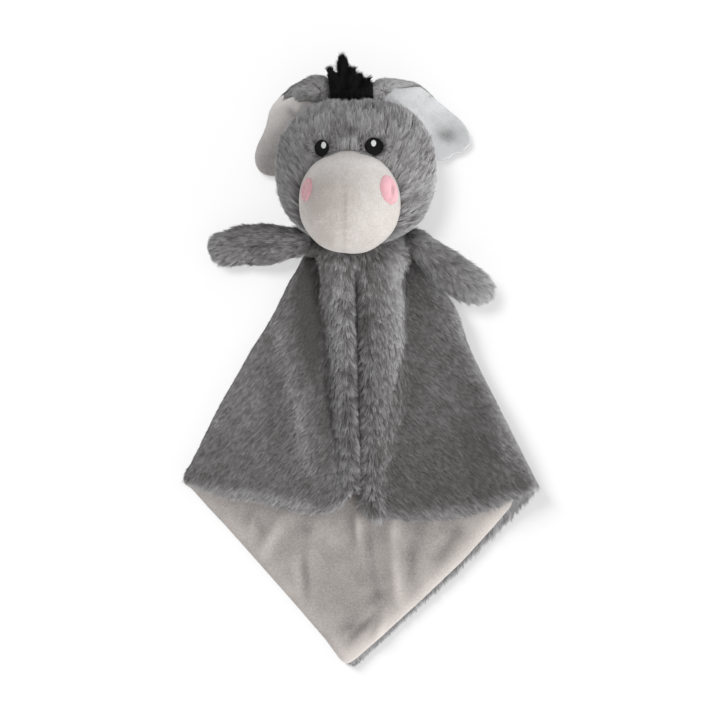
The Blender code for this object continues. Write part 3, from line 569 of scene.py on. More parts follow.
    taper = calc(tree, "SUBTRACT", 1.0, calc(tree, "MULTIPLY", calc(tree, "POWER", along, 1.5), 0.82))
    half = calc(tree, "MULTIPLY", calc(tree, "MULTIPLY", across, wants["Strand Width"]), taper)
    gather = calc(tree, "SUBTRACT", named("tuft", "FLOAT_VECTOR"), named("root", "FLOAT_VECTOR"), vector=True)
    gather = calc(tree, "SCALE", gather, calc(tree, "MULTIPLY", squared, wants["Tuft Pull"]), vector=True)
    where = named("root", "FLOAT_VECTOR")
    for way, reach in ((up, rise), (flat, run), (side, half)):
        where = calc(tree, "ADD", where, calc(tree, "SCALE", way, reach, vector=True), vector=True)
    where = calc(tree, "ADD", where, gather, vector=True)
    where = calc(tree, "MAXIMUM", where, (-1.0, -1.0, LOWEST), vector=True)
    bent = add(tree, "GeometryNodeSetPosition")
    feed(tree, bent.inputs["Geometry"], real)
    feed(tree, bent.inputs["Position"], where)
    chart = add(tree, "ShaderNodeCombineXYZ")
    feed(tree, chart.inputs[0], named("shade"))
    feed(tree, chart.inputs[1], along)
    mapped = store(bent.outputs[0], "OFBake", "FLOAT2", chart.outputs[0], "CORNER")
    soft = add(tree, "GeometryNodeSetShadeSmooth")
    feed(tree, soft.inputs["Geometry"], mapped)
    finish = add(tree, "GeometryNodeSetMaterial")
    feed(tree, finish.inputs["Geometry"], soft.outputs[0])
    feed(tree, finish.inputs["Material"], wants["Material"])
    feed(tree, out.inputs[0], finish.outputs[0])
    return tree


GROW_PILE = grow_pile_tree()
print(f"{GROW_PILE.name}: {len(GROW_PILE.nodes)} nodes")

# %% Growing pile on a skin
def socket_id(tree, label):
    return next(i.identifier for i in tree.interface.items_tree if i.name == label and i.in_out == "INPUT")


def run_tree(thing, tree, **values):
    """Runs a node tree on an object and turns the result into plain mesh."""
    work = thing.modifiers.new(tree.name, "NODES")
    work.node_group = tree
    for label, value in values.items():
        work[socket_id(tree, label.replace("_", " ").title())] = value
    return applied(thing)


total_faces = 0


def pile(name, skin, brush, lift, density, shade, contrast=1.0, material=None, **sizes):
    """Grows pile on a skin. Brush is a vector for each vertex, lift, density, shade and contrast numbers."""
    global total_faces
    count = len(skin.data.vertices)
    keep(skin, "pile", "FLOAT_VECTOR", brush)
    for label, value in (("lift", lift), ("density", density), ("shade", shade), ("contrast", contrast)):
        keep(skin, "pile_" + label, "FLOAT", np.broadcast_to(np.asarray(value, float), (count,)))
    thing = put(name, skin.data.copy())
    run_tree(thing, GROW_PILE, material=material or grey_pile, **sizes)
    working = [a.name for a in thing.data.attributes if not (a.is_required or a.name.startswith("."))]
    for label in working:
        if label not in ("OFBake", "material_index", "sharp_face"):
            thing.data.attributes.remove(thing.data.attributes[label])
    thing.data.name = name
    faces = len(thing.data.polygons) * 2
    total_faces += faces
    print(f"{name}: {faces} triangles")
    return thing


def bare(skin):
    """Takes the pile's working values off a skin once its pile is grown."""
    for label in ("pile", "pile_lift", "pile_density", "pile_shade", "pile_contrast"):
        layer = skin.data.attributes.get(label)
        if layer is not None:
            skin.data.attributes.remove(layer)


def step(value, start, end):
    """Rises smoothly from 0 at start to 1 at end."""
    t = np.clip((np.asarray(value, float) - start) / (end - start), 0, 1)
    return t * t * (3 - 2 * t)


def heading(degrees, fall=0.0):
    """Level vectors turned clockwise from the top of the picture, in degrees, that sink by fall."""
    angle = np.radians(np.asarray(degrees, float))
    return np.stack([np.sin(angle), np.cos(angle), np.full_like(angle, -fall)], axis=-1)


def dressed(piece, body, finish, *nodes):
    """Rides on a body and hides the nodes that it stands for; finish is not used."""
    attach(piece, body)
    if nodes:
        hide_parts(*nodes)
    return piece


print("pile helpers ready")

# %% [markdown]
# ## Blanket, from the floor up
#
# The blanket is a kite of cloth on the floor, plush below and smooth lining above. Its top half carries a
# second double layer, the front of the cape, which rises in two tubular folds under the chin. The bare
# lining below the hem is drawn as a fine grid, because its folds and its rolled edge show. The plush layers
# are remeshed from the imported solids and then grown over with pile.

# %% Outline of the kite
NECK_Y, CORNER_Y, TIP_X, TIP_Y = 0.0600, -0.0705, -0.0060, -0.1745
HALF_NECK, HALF_WIDTH, HALF_TIP = 0.0350, 0.1016, 0.0030
LINING_TOP, LINING_WALL, HEM_Y = 0.0040, 0.0012, -0.0820
# How far the lining's and the plush's edges lie inside the kite: the levels of y and both insets
INSETS = ((-0.1745, -0.1600, -0.1380, -0.1150, -0.0950, -0.0840, -0.0735, -0.0700, -0.0660, -0.0600, 0.0055,
           0.0170, 0.0285, 0.0510),
          (-0.0004, 0.0020, 0.0026, 0.0028, 0.0028, 0.0022, 0.0024, 0.0006, -0.0012, 0.0, 0.0006,
           0.0022, 0.0028, 0.0032),
          (0.0030, 0.0010, -0.0010, -0.0020, 0.0, 0.0016, 0.0090, 0.0090, 0.0090, 0.0090, 0.0090,
           0.0090, 0.0090, 0.0090))


def kite_edges(y):
    """x of the plush's left and right edges at y."""
    upper = np.interp(y, [CORNER_Y, NECK_Y], [HALF_WIDTH, HALF_NECK])
    left = np.interp(y, [TIP_Y, CORNER_Y], [TIP_X - HALF_TIP, -HALF_WIDTH])
    right = np.interp(y, [TIP_Y, CORNER_Y], [TIP_X + HALF_TIP, HALF_WIDTH])
    return np.where(y > CORNER_Y, -upper, left), np.where(y > CORNER_Y, upper, right)


def lining_edges(y):
    """The lining's left and right edges at y; its tip is rounded."""
    left, right = kite_edges(y)
    narrow = 0.0020 * np.clip(1 - (y - TIP_Y) / 0.0045, 0, 1) ** 2
    return left + np.interp(y, INSETS[0], INSETS[1]) + narrow, right - np.interp(y, INSETS[0], INSETS[2]) - narrow


print("edges at the corners:", [round(float(v) * 1000, 1) for v in kite_edges(CORNER_Y)])

# %% Folds of the loose lining
# x and y of both ends, half width and height, in metres
RIDGES = (
    (-0.0017, -0.0860, -0.0011, -0.1080, 0.0032, 0.0030), (0.0182, -0.0930, 0.0215, -0.1380, 0.0044, 0.0026),
    (-0.0410, -0.0860, -0.0575, -0.1110, 0.0048, 0.0020), (-0.0600, -0.0860, -0.0640, -0.0990, 0.0030, 0.0010),
    (0.0420, -0.0860, 0.0330, -0.1180, 0.0060, 0.0016), (-0.0260, -0.0900, -0.0300, -0.1180, 0.0035, 0.0012),
    (0.0095, -0.1450, -0.0090, -0.1605, 0.0030, -0.0010), (0.0130, -0.1480, 0.0080, -0.1620, 0.0032, 0.0012),
    (0.0036, -0.0940, 0.0050, -0.1130, 0.0024, -0.0012), (0.0050, -0.1130, 0.0104, -0.1400, 0.0030, -0.0009),
    (0.0288, -0.1040, 0.0293, -0.1290, 0.0036, -0.0008), (0.0560, -0.0960, 0.0430, -0.1140, 0.0040, -0.0008),
    (-0.0328, -0.1130, -0.0308, -0.1360, 0.0024, -0.0010),
)
# The same for the painted light and shade of its folds, creases and the shadow under the hem: below 0 paler, above 0
# darker
LINING_LIGHT_AND_SHADE = (
    (0.0207, -0.0891, 0.0172, -0.1093, 0.0034, -0.30), (0.0172, -0.1093, 0.0230, -0.1392, 0.0034, -0.34),
    (0.0288, -0.1040, 0.0293, -0.1294, 0.0032, 0.16), (0.0426, -0.1167, 0.0587, -0.0960, 0.0038, 0.26),
    (0.0529, -0.1018, 0.0587, -0.0943, 0.0045, 0.14), (0.0276, -0.0966, 0.0518, -0.0983, 0.0050, 0.14),
    (0.0046, -0.1397, 0.0150, -0.1323, 0.0036, 0.14), (-0.0130, -0.1560, 0.0040, -0.1500, 0.0042, 0.20),
    (-0.0058, -0.1236, 0.0104, -0.1254, 0.0050, 0.09), (-0.0345, -0.0966, -0.0276, -0.0990, 0.0035, 0.10),
    (-0.0449, -0.0900, -0.0564, -0.1127, 0.0036, -0.22), (-0.0600, -0.0880, -0.0550, -0.1010, 0.0028, 0.16),
    (-0.0017, -0.0880, -0.0014, -0.1010, 0.0026, -0.28), (0.0032, -0.0930, 0.0048, -0.1121, 0.0022, 0.16),
    (0.0048, -0.1121, 0.0104, -0.1409, 0.0028, 0.12), (-0.0328, -0.1130, -0.0308, -0.1380, 0.0022, 0.20),
    (-0.0372, -0.1110, -0.0352, -0.1330, 0.0024, -0.12), (0.0127, -0.1415, -0.0092, -0.1645, 0.0022, 0.22),
    (0.0165, -0.1455, -0.0050, -0.1665, 0.0034, -0.12), (-0.0200, -0.0950, -0.0120, -0.1080, 0.0040, -0.08),
)


def strokes(x, y, table):
    """Sum of soft strokes between two points, each with a half width and an amount."""
    height = np.zeros_like(x)
    for x0, y0, x1, y1, width, rise in table:
        run = np.array([x1 - x0, y1 - y0])
        share = ((x - x0) * run[0] + (y - y0) * run[1]) / (run @ run)
        away = np.hypot(x - x0 - share * run[0], y - y0 - share * run[1])
        height += rise * step(share, -0.25, 0.35) * step(1.25 - share, 0, 0.7) * np.exp(-(away / width) ** 2)
    return height


def slab(name, top, under, material):
    """Closes two grids of points, one over the other, with a rim."""
    rows, columns = top.shape[:2]
    points = np.concatenate([top.reshape(-1, 3), under.reshape(-1, 3)])
    at = lambda r, c, layer: layer * rows * columns + r * columns + c
    faces = []
    for r in range(rows - 1):
        for c in range(columns - 1):
            faces.append((at(r, c, 0), at(r + 1, c, 0), at(r + 1, c + 1, 0), at(r, c + 1, 0)))
            faces.append((at(r, c, 1), at(r, c + 1, 1), at(r + 1, c + 1, 1), at(r + 1, c, 1)))
    rim = ([(0, c) for c in range(columns)] + [(r, columns - 1) for r in range(1, rows)]
           + [(rows - 1, c) for c in range(columns - 2, -1, -1)] + [(r, 0) for r in range(rows - 2, 0, -1)])
    for a, b in zip(rim, rim[1:] + rim[:1]):
        faces.append((at(*a, 0), at(*b, 0), at(*b, 1), at(*a, 1)))
    made = from_points(name, points, faces, material)
    mesh = bmesh.new()
    mesh.from_mesh(made.data)
    bmesh.ops.remove_doubles(mesh, verts=mesh.verts, dist=1e-6)
    bmesh.ops.recalc_face_normals(mesh, faces=mesh.faces)
    if mesh.calc_volume(signed=True) < 0:
        bmesh.ops.reverse_faces(mesh, faces=mesh.faces)
    mesh.to_mesh(made.data)
    mesh.free()
    made.data.shade_smooth()
    return made


# %% Bare lining of the back
rows = np.concatenate([np.linspace(NECK_Y - 0.0003, CORNER_Y, 40), np.linspace(CORNER_Y, TIP_Y, 130)[1:]])
across = np.linspace(0, 1, 120)
left, right = lining_edges(rows)
X = left[:, None] + (right - left)[:, None] * across[None, :]
Y = np.repeat(rows[:, None], len(across), axis=1)
below = step(CORNER_Y - Y, 0.0, 0.012)


def rim_gaps(x, y):
    """How far a point lies from the lining's left and right edges, square to the lower ones."""
    left, right = lining_edges(y)
    return 0.72 * (x - left), 0.72 * (right - x)


left_gap, right_gap = rim_gaps(X, Y)
rolled = (0.0006 * np.exp(-((right_gap - 0.0046) / 0.0036) ** 2)
          + 0.0006 * np.exp(-((left_gap - 0.0030) / 0.0020) ** 2))
Z = LINING_TOP + below * (strokes(X, Y, RIDGES) + rolled)
Z -= below * (0.0006 * np.exp(-(right_gap / 0.0010) ** 2) + 0.0008 * np.exp(-(left_gap / 0.0012) ** 2))
top = np.stack([X, Y, Z], axis=-1)
back_lining = slab("blanket_back_lining", top, top - np.array([0, 0, LINING_WALL - 0.0001]), lining_cloth)
x, y = arrays(back_lining)[0][:, :2].T
left_gap, right_gap = rim_gaps(x, y)
# Painted light and shade of the lining: the folds from the table, the shadow under the hem, and paler rims, most on
# the right
under_hem = np.exp(-np.clip(HEM_Y - 0.0070 - y + 0.0110 * np.clip(np.abs(x) / HALF_WIDTH, 0, 1), 0, 1) / 0.0060)
brushed_and_painted = 0.55 + 1.15 * strokes(x, y, LINING_LIGHT_AND_SHADE) + 0.14 * under_hem - 0.60 * np.exp(-(right_gap / 0.0100) ** 2)
keep(back_lining, "painted_light_and_shade", "FLOAT", brushed_and_painted - 0.20 * np.exp(-(left_gap / 0.0110) ** 2))
dressed(back_lining, "blanket", "blanket_lining", "back_lining_panel")
print("lining faces:", len(back_lining.data.polygons))

# %% Back plush and the pile along its edge
back_plush = skin_from("blanket_back_plush", ["back_plush_panel"], 0.0014, 3, grey_backing)
place, normal = arrays(back_plush)
left, right = kite_edges(place[:, 1])
gap = np.minimum(place[:, 0] - left, right - place[:, 0])
share = 1 - step(place[:, 0] - left, 0.0, 0.0200)
place[:, 0] += share * (np.interp(place[:, 1], INSETS[0], INSETS[1]) + 0.0004)
move_to(back_plush, place)
low = step(CORNER_Y + 0.004 - place[:, 1], 0, 0.006)
on_right = place[:, 0] > TIP_X
inset = np.interp(place[:, 1], INSETS[0], INSETS[2])
deep = np.where(on_right, 0.0046 + np.maximum(inset, 0.0), 0.0022)
edge = (gap < deep) & (normal[:, 2] > -0.75) & (on_right | (low < 0.5))
turn = np.where(on_right, 170.0 - 20 * (1 - low), -152.0)
fringe = np.interp(place[:, 1], [-0.1745, -0.1600, -0.1380, -0.1150, -0.0740, -0.0640],
                   [0.0030, 0.0040, 0.0056, 0.0074, 0.0074, 0.0040])
length = np.where(on_right, fringe, 0.0026)
back_pile = pile("blanket_back_pile", back_plush, heading(turn, 0.05) * length[:, None], 0.12, edge, 0.56, 0.9,
                 strands_per_square_metre=13e6, strand_width=0.00038, tuft_spacing=0.0009, tuft_pull=0.10,
                 scatter=0.07, segments=2, seed=3)
bare(back_plush)
dressed(back_plush, "blanket", "grey_plush", "back_plush_panel")
dressed(back_pile, "blanket", "grey_plush")

# %% Front linings, inside the cape
def softened(name, node, material):
    """A copy of a solid, its triangles paired and its corners rounded."""
    mesh = bmesh.new()
    mesh.from_mesh(frame["nodes"][node].data)
    bmesh.ops.remove_doubles(mesh, verts=mesh.verts, dist=1e-6)
    bmesh.ops.join_triangles(mesh, faces=mesh.faces, angle_face_threshold=0.7, angle_shape_threshold=0.9)
    data = bpy.data.meshes.new(name)
    mesh.to_mesh(data)
    mesh.free()
    thing = put(name, data, material)
    round_off = thing.modifiers.new("round off", "SUBSURF")
    round_off.levels = round_off.render_levels = 1
    applied(thing)
    thing.data.shade_smooth()
    return thing


# How far up the hem is moved at places across, and how far the left side is moved in by level
HEM_MOVE = ((-0.1010, -0.0776, -0.0673, -0.0563, -0.0425, -0.0311, -0.0173, -0.0100, -0.0052,
             0.0004, 0.0060, 0.0092, 0.0230, 0.0440, 0.0580, 0.0720, 0.0850, 0.0960),
            (0.0034, 0.0018, 0.0022, 0.0030, 0.0006, -0.0014, -0.0028, 0.0014, 0.0090,
             0.0060, -0.0020, -0.0044, -0.0068, -0.0062, -0.0062, -0.0048, -0.0027, 0.0))
SIDE_MOVE = ((-0.0715, -0.0690, -0.0650, -0.0500, -0.0250, -0.0060, 0.0055, 0.0170, 0.0285, 0.0455, 0.0510),
             (0.0014, -0.0014, -0.0026, -0.0016, -0.0014, 0.0, 0.0006, 0.0022, 0.0028, 0.0024, 0.0032))


def above_hem(place):
    """How far a point of the cape lies above its hem, which rises towards the corners."""
    return place[:, 1] - (HEM_Y + 0.0115 * np.clip(np.abs(place[:, 0]) / HALF_WIDTH, 0, 1))


def shift_cape(thing):
    """Moves the hem and the left side of a layer of the cape."""
    place = arrays(thing)[0]
    at_hem = 1 - step(above_hem(place), 0.0, 0.0140)
    at_left = 1 - step(place[:, 0] - kite_edges(place[:, 1])[0], 0.0, 0.0200)
    moved = place.copy()
    moved[:, 0] += at_left * np.interp(place[:, 1], *SIDE_MOVE)
    moved[:, 1] += at_hem * np.interp(place[:, 0], *HEM_MOVE)
    move_to(thing, moved)
    return place


for word in ("left", "right"):
    inner = softened(f"cape_{word}_lining", f"front_{word}_lining_panel", lining_cloth)
    shift_cape(inner)
    dressed(inner, "blanket", "blanket_lining", f"front_{word}_lining_panel")
    print(inner.name, len(inner.data.polygons), "faces")

# %% Which way the cape's pile is brushed, and its painted light and shade
FOLD_WIDTH = {-1: (0.0200, 0.0145, 0.0080), 1: (0.0265, 0.0240, 0.0090)}
WAIST_Y, CREST = -0.0150, 0.0062


def valley_x(y):
    """x of the valley between the two folds at y."""
    return np.interp(y, [HEM_Y, NECK_Y], [0.0006, -0.0029])

def cape_brush(place, side):
    """Degrees from the top of the picture, how far a point is onto its fold (1) or the flat (0), and the
    distance from the valley."""
    x, y = place[:, 0], place[:, 1]
    away = side * (x - valley_x(y))
    width = np.interp(y, [HEM_Y, WAIST_Y, NECK_Y], FOLD_WIDTH[side][::-1])
    inner = 30.0 * (1 - step(away, CREST - 0.0012, CREST + 0.0012))
    outer = (14.0 - 4.0 * step(away, CREST, 0.02)) * step(away, CREST - 0.0012, CREST + 0.0012)
    flat = 40.0 if side < 0 else 50.0
    onto = 1 - step(away, width + 0.0010, width + 0.0060)
    lean = outer * onto + flat * (1 - onto) - inner * onto
    return 180.0 - side * lean, onto, away


# Strokes of painted light and shade on the flats: paler where the pile lies with the light or a ridge is lit, darker
# where it lies against it and in the shade beside the folds
FLAT_STROKES = {
    -1: ((-0.0300, 0.0560, -0.0225, 0.0000, 0.0092, -0.68), (-0.0466, 0.0190, -0.0391, -0.0086, 0.0034, 0.24),
         (-0.0391, -0.0086, -0.0262, -0.0644, 0.0034, 0.26), (-0.0270, 0.0200, -0.0215, -0.0420, 0.0052, -0.17),
         (-0.0590, -0.0020, -0.0620, -0.0400, 0.0030, 0.05), (-0.0490, 0.0120, -0.0450, -0.0500, 0.0075, -0.11),
         (-0.0190, -0.0100, -0.0140, -0.0620, 0.0040, -0.10), (-0.0760, -0.0280, -0.0820, -0.0400, 0.0060, 0.12)),
    1: ((0.0270, 0.0560, 0.0250, 0.0050, 0.0090, -0.20), (0.0520, 0.0330, 0.0560, 0.0130, 0.0100, 0.24),
        (0.0580, -0.0300, 0.0700, -0.0680, 0.0100, -0.08), (0.0760, -0.0300, 0.0860, -0.0660, 0.0060, 0.16),
        (0.0300, -0.0020, 0.0260, -0.0420, 0.0036, -0.12)),
}
# Painted light and shade across each fold, by distance from the valley: the left fold paler at its crest and darker
# down its outer side, the right fold paler out to its outer side, which faces the light
FOLD_SHADES = {
    -1: ((0.0, 0.0022, 0.0045, 0.0070, 0.0100, 0.0135, 0.0165, 0.0200),
         (0.42, 0.32, 0.24, 0.34, 0.46, 0.28, 0.12, 0.04)),
    1: ((0.0, 0.0030, 0.0070, 0.0105, 0.0150, 0.0185, 0.0240), (0.20, 0.17, 0.20, 0.18, 0.28, 0.48, 0.76)),
}
# How far from the valley the painted light on the right fold's lit side reaches, by level
PALE_REACH = ((-0.0600, -0.0460, -0.0350, -0.0170, 0.0, 0.0150), (0.0060, 0.0090, 0.0136, 0.0188, 0.0230, 0.0260))


def cape_shade(place, side, onto, away):
    """Painted light and shade, and contrast, of the pile."""
    x, y = place[:, 0], place[:, 1]
    fold = np.interp(away, *FOLD_SHADES[side])
    if side > 0:
        by_level = 0.10 * step(0.022 - y, 0, 0.022) - 0.07 * step(y, 0.026, 0.040)
        fold += by_level * step(away, 0.004, 0.007) * step(0.017 - away, 0, 0.004)
        fold += (0.15 - fold) * step(away - np.interp(y, *PALE_REACH), -0.0010, 0.0016)
        flat = 0.15 - 0.12 * step(-0.024 - y, 0, 0.036)
    else:
        fold += 0.17 * step(y, -0.012, 0.012) * step(away, 0.002, 0.005)
        flat = 0.26 - 0.10 * step(-0.020 - y, 0, 0.045)
    left, right = kite_edges(y)
    # Painted light along the outer edges, whose pile catches the light, more on the right
    painted_rim_light = 1 - step(np.minimum(x - left, right - x), 0.0015, 0.0100 if side > 0 else 0.0060)
    marks = strokes(x, y, FLAT_STROKES[side])
    flat = flat + marks + (0.40 if side > 0 else 0.16) * painted_rim_light
    ruffled = np.exp(-((away - CREST) / 0.0050) ** 2) * onto
    contrast = 0.75 + 0.20 * onto + 0.50 * ruffled + 1.6 * np.clip(marks, 0, 1) * (1 - onto)
    return fold * onto + flat * (1 - onto), contrast


print("brushed directions ready")

# %% Cape skins and their pile
for side, word in ((-1, "left"), (1, "right")):
    cape = skin_from(f"cape_{word}_plush", [f"front_{word}_plush_panel"], 0.0011, 4, grey_backing)
    place = shift_cape(cape)
    if side > 0:
        # The arm above pulls the side out a little
        moved = arrays(cape)[0]
        pulled = 0.0042 * np.exp(-((place[:, 1] - 0.0290) / 0.0150) ** 2)
        moved[:, 0] += pulled * step(place[:, 0], 0.0300, 0.0480)
        move_to(cape, moved)
    normal = arrays(cape)[1]
    turn, onto, away = cape_brush(place, side)
    shade, contrast = cape_shade(place, side, onto, away)
    # The neck's pile takes over from the folds' little by little
    seen = (normal[:, 2] > -0.25) * (1 - onto * step(place[:, 1], 0.0335, 0.0385))
    from_hem = above_hem(place)
    # Painted light on the pile's tips along the hem, standing for the pale lining's light reflected onto them
    hem, painted_hem_light = 1 - step(from_hem, 0.0, 0.0060), 1 - step(from_hem, -0.0010, 0.0030)
    ruffled = np.exp(-((away - CREST) / 0.0050) ** 2) * onto
    left, right = kite_edges(place[:, 1])
    side_rim = 1 - step(np.minimum(place[:, 0] - left, right - place[:, 0]), 0.0010, 0.0045)
    corner = hem * (side > 0) * np.exp(-((place[:, 0] - 0.0060) / 0.0060) ** 2)
    notch = (1 - step(from_hem, 0.0, 0.0100)) * np.exp(-((place[:, 0] + 0.0036) / 0.0036) ** 2)
    length = 0.0036 + 0.0016 * ruffled + 0.0012 * hem + 0.0030 * corner
    length = length * (1 - 0.50 * side_rim) * (1 - 0.6 * notch)
    lift = 0.26 + 0.14 * ruffled - 0.16 * side_rim
    for part, share, seed in (("fold", onto > 0.5, 20), ("flat", onto <= 0.5, 30)):
        flat = part == "flat"
        grown = pile(f"cape_{word}_{part}_pile", cape, heading(turn, 0.12) * length[:, None], lift, seen * share,
                     shade + 0.36 * painted_hem_light * (1 - notch), contrast + 0.3 * hem, strands_per_square_metre=6.7e6 if flat else 8.2e6,
                     strand_width=0.00034, tuft_spacing=0.0009 if flat else 0.0015,
                     tuft_pull=0.40 if flat else 0.70, scatter=0.16 if flat else 0.18,
                     shade_grain=160.0 if flat else 130.0, segments=2, seed=seed + side)
        dressed(grown, "blanket", "grey_plush")
    bare(cape)
    dressed(cape, "blanket", "grey_plush", f"front_{word}_plush_panel")

# %% [markdown]
# ## Head
#
# The head is a flattened ball of plush, and the muzzle a smaller ball of short velour let into its face. On
# both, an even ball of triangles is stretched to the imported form, because a ball with poles would show them
# in the velour. The pile on the head is brushed from the muzzle up and out, and over the crown.

# %% Swelling forms
HEAD_CENTRE, HEAD_HALF = np.array([-0.0022, 0.1050, 0.0255]), np.array([0.0440, 0.0405, 0.0260])
HEAD_POWER = 2.3
MUZZLE_CENTRE, MUZZLE_HALF = np.array([-0.0056, 0.0874, 0.0415]), np.array([0.0282, 0.0288, 0.0262])
FACE_X = -0.0064


def swelling(name, centre, half, power, detail, material, floor=None):
    mesh = bmesh.new()
    bmesh.ops.create_icosphere(mesh, subdivisions=detail, radius=1.0)
    data = bpy.data.meshes.new(name)
    mesh.to_mesh(data)
    mesh.free()
    thing = put(name, data, material)
    place = arrays(thing)[0]
    way = place[:, :2] / np.maximum(np.hypot(place[:, 0], place[:, 1]), 1e-9)[:, None]
    bulge = (np.abs(way) ** power).sum(1)
    place[:, :2] *= np.where(bulge > 0, np.maximum(bulge, 1e-9) ** (-1 / power), 1.0)[:, None]
    place = place * half + centre
    if floor is not None:
        place[:, 2] = np.maximum(place[:, 2], floor)
    move_to(thing, place)
    data.shade_smooth()
    return thing


def height_over(x, y, centre, half, power):
    """Level of a swelling form's upper surface over x, y."""
    q = ((np.abs(x - centre[0]) / half[0]) ** power + (np.abs(y - centre[1]) / half[1]) ** power) ** (1 / power)
    return centre[2] + half[2] * np.sqrt(np.clip(1 - q * q, 0, 1))


# %% Head skin and pile
EYE_Y, EYE_SPREAD, EYE_RADIUS = 0.1166, 0.0144, 0.0055
# What the pile leaves free of each eye: the centre and both half widths
EYES = {-1: ((-0.0209, 0.1158), (0.0040, 0.0049)), 1: ((0.0076, 0.1165), (0.0052, 0.0052))}


def head_turn(x, y, near_eye):
    """Which way the pile lies, in degrees from the top of the picture. Near the eyes it lies away from them."""
    by_height = np.interp(y, [0.060, 0.070, 0.085, 0.100, 0.120, 0.134, 0.147], [80, 62, 46, 30, 30, -6, -50])
    turn = np.sign(x - FACE_X) * step(np.abs(x - FACE_X), 0.004, 0.034) * by_height
    from_eye = x - FACE_X - EYE_SPREAD * np.where(x > FACE_X, 1, -1)
    return turn + (np.sign(from_eye) * 110.0 - turn) * near_eye * step(EYE_Y + 0.0030 - y, 0.0, 0.0040)


head_skin = swelling("head_skin", HEAD_CENTRE, HEAD_HALF, HEAD_POWER, 6, grey_backing, floor=0.0008)
place, normal = arrays(head_skin)
x, y = place[:, 0], place[:, 1]
off_centre = x - FACE_X
in_muzzle = (((place - MUZZLE_CENTRE) / (MUZZLE_HALF - 0.0012)) ** 2).sum(1) < 1
eyes = np.minimum(np.hypot(x - FACE_X - EYE_SPREAD, y - EYE_Y), np.hypot(x - FACE_X + EYE_SPREAD, y - EYE_Y))
on_eye = (eyes < EYE_RADIUS + 0.0008) & (normal[:, 2] > 0.3)
# On the back, which lies on the floor, the pile is pressed flat
pressed = place[:, 2] < 0.0040
density = ~(in_muzzle | on_eye) * (1 - 0.5 * (place[:, 2] < 0.012)) * (1 - 0.70 * pressed)
near_eye = np.exp(-((eyes - EYE_RADIUS) / 0.003) ** 2) * (normal[:, 2] > 0.3)
from_eye = np.minimum(np.abs(x - FACE_X - EYE_SPREAD), np.abs(x - FACE_X + EYE_SPREAD))
density = density * ~((from_eye < 0.0022) & (y < EYE_Y) & (y > EYE_Y - 0.0120) & (normal[:, 2] > 0.3))
rim = 1 - step(normal[:, 2], 0.10, 0.65)
turn = head_turn(x, y, near_eye) * (1 - 0.55 * rim)
length = (0.0060 - 0.0024 * near_eye) * (1 - 0.42 * rim) * (1 - 0.55 * step(y, 0.136, 0.1455))
lift = 0.35 - 0.14 * near_eye - 0.24 * rim - 0.05 * pressed
# The plush stands in a low rim about each eye: how far out and how high, from the eye's edge to the head's skin
RIM_RISE = ((0.0, 0.0007), (0.0, 0.0014), (0.25, 0.0017), (0.55, 0.0015), (0.80, 0.0008), (1.0, -0.0006))
RIM_TURNS, RIM_REACH = 60, 0.0020
# Painted light and shade of the head's pile: paler on the right, most along its lower side, which faces the light;
# darker in a band above the muzzle between the eyes, on the right of the crown and towards both sides, with a paler
# touch on the upper left
HEAD_STROKES = ((0.0020, 0.1230, 0.0040, 0.1310, 0.0050, 0.08), (-0.0140, 0.1205, 0.0020, 0.1205, 0.0040, -0.34),
                (0.0000, 0.1380, 0.0260, 0.1320, 0.0090, -0.20))
shade = 0.54 + 0.02 * step(off_centre, 0.0, 0.040) + strokes(x, y, HEAD_STROKES)
shade -= 0.06 * step(-off_centre, 0.024, 0.034) + 0.04 * step(off_centre, 0.028, 0.038)
shade += (0.26 * step(off_centre, 0.030, 0.045) * step(0.1120 - y, 0, 0.020)
          + 0.09 * step(-off_centre, 0.018, 0.034) * step(y, 0.112, 0.128))
for part, half, seed in (("left", x < HEAD_CENTRE[0], 41), ("right", x >= HEAD_CENTRE[0], 42)):
    grown = pile(f"head_{part}_pile", head_skin, heading(turn, 0.22) * length[:, None], lift,
                     density * half, shade, 1.05 + 0.35 * step(off_centre, 0.020, 0.036), strands_per_square_metre=7.9e6,
                     strand_width=0.00036, tuft_spacing=0.0015, tuft_pull=0.72, scatter=0.20, shade_grain=170.0, segments=2, seed=seed)
    dressed(grown, "head", "grey_plush")
for side, word in ((-1, "left"), (1, "right")):
    (eye_x, eye_y), (half_x, half_y) = EYES[side]
    points = []
    for share, rise in RIM_RISE:
        for angle in np.arange(RIM_TURNS) * 2 * math.pi / RIM_TURNS:
            u, v = math.cos(angle), math.sin(angle)
            inner = np.array([eye_x + half_x * u, eye_y + half_y * v])
            outer = np.array([FACE_X + side * EYE_SPREAD, EYE_Y]) + (EYE_RADIUS + RIM_REACH) * np.array([u, v])
            at = inner + (outer - inner) * share
            points.append((*at, float(height_over(*at, HEAD_CENTRE, HEAD_HALF + rise, HEAD_POWER))))
    faces = [(k * RIM_TURNS + t, k * RIM_TURNS + (t + 1) % RIM_TURNS, (k + 1) * RIM_TURNS + (t + 1) % RIM_TURNS,
              (k + 1) * RIM_TURNS + t) for k in range(len(RIM_RISE) - 1) for t in range(RIM_TURNS)]
    eye_rim = from_points(f"eye_{word}_rim", points, [face[::-1] for face in faces], grey_backing)
    spot = arrays(eye_rim)[0]
    grown = pile(f"eye_{word}_rim_pile", eye_rim, heading(head_turn(spot[:, 0], spot[:, 1], 1.0), 0.22) * 0.0034, 0.20,
                 1.0, 0.48, 1.05, strands_per_square_metre=7.9e6, strand_width=0.00036, tuft_spacing=0.0015,
                 tuft_pull=0.60, scatter=0.16, shade_grain=170.0, segments=2, seed=50 + side)
    bare(eye_rim)
    dressed(eye_rim, "head", "grey_plush")
    dressed(grown, "head", "grey_plush")
bare(head_skin)
dressed(head_skin, "head", "grey_plush", "head_back_panel", "head_left_panel", "head_right_panel")

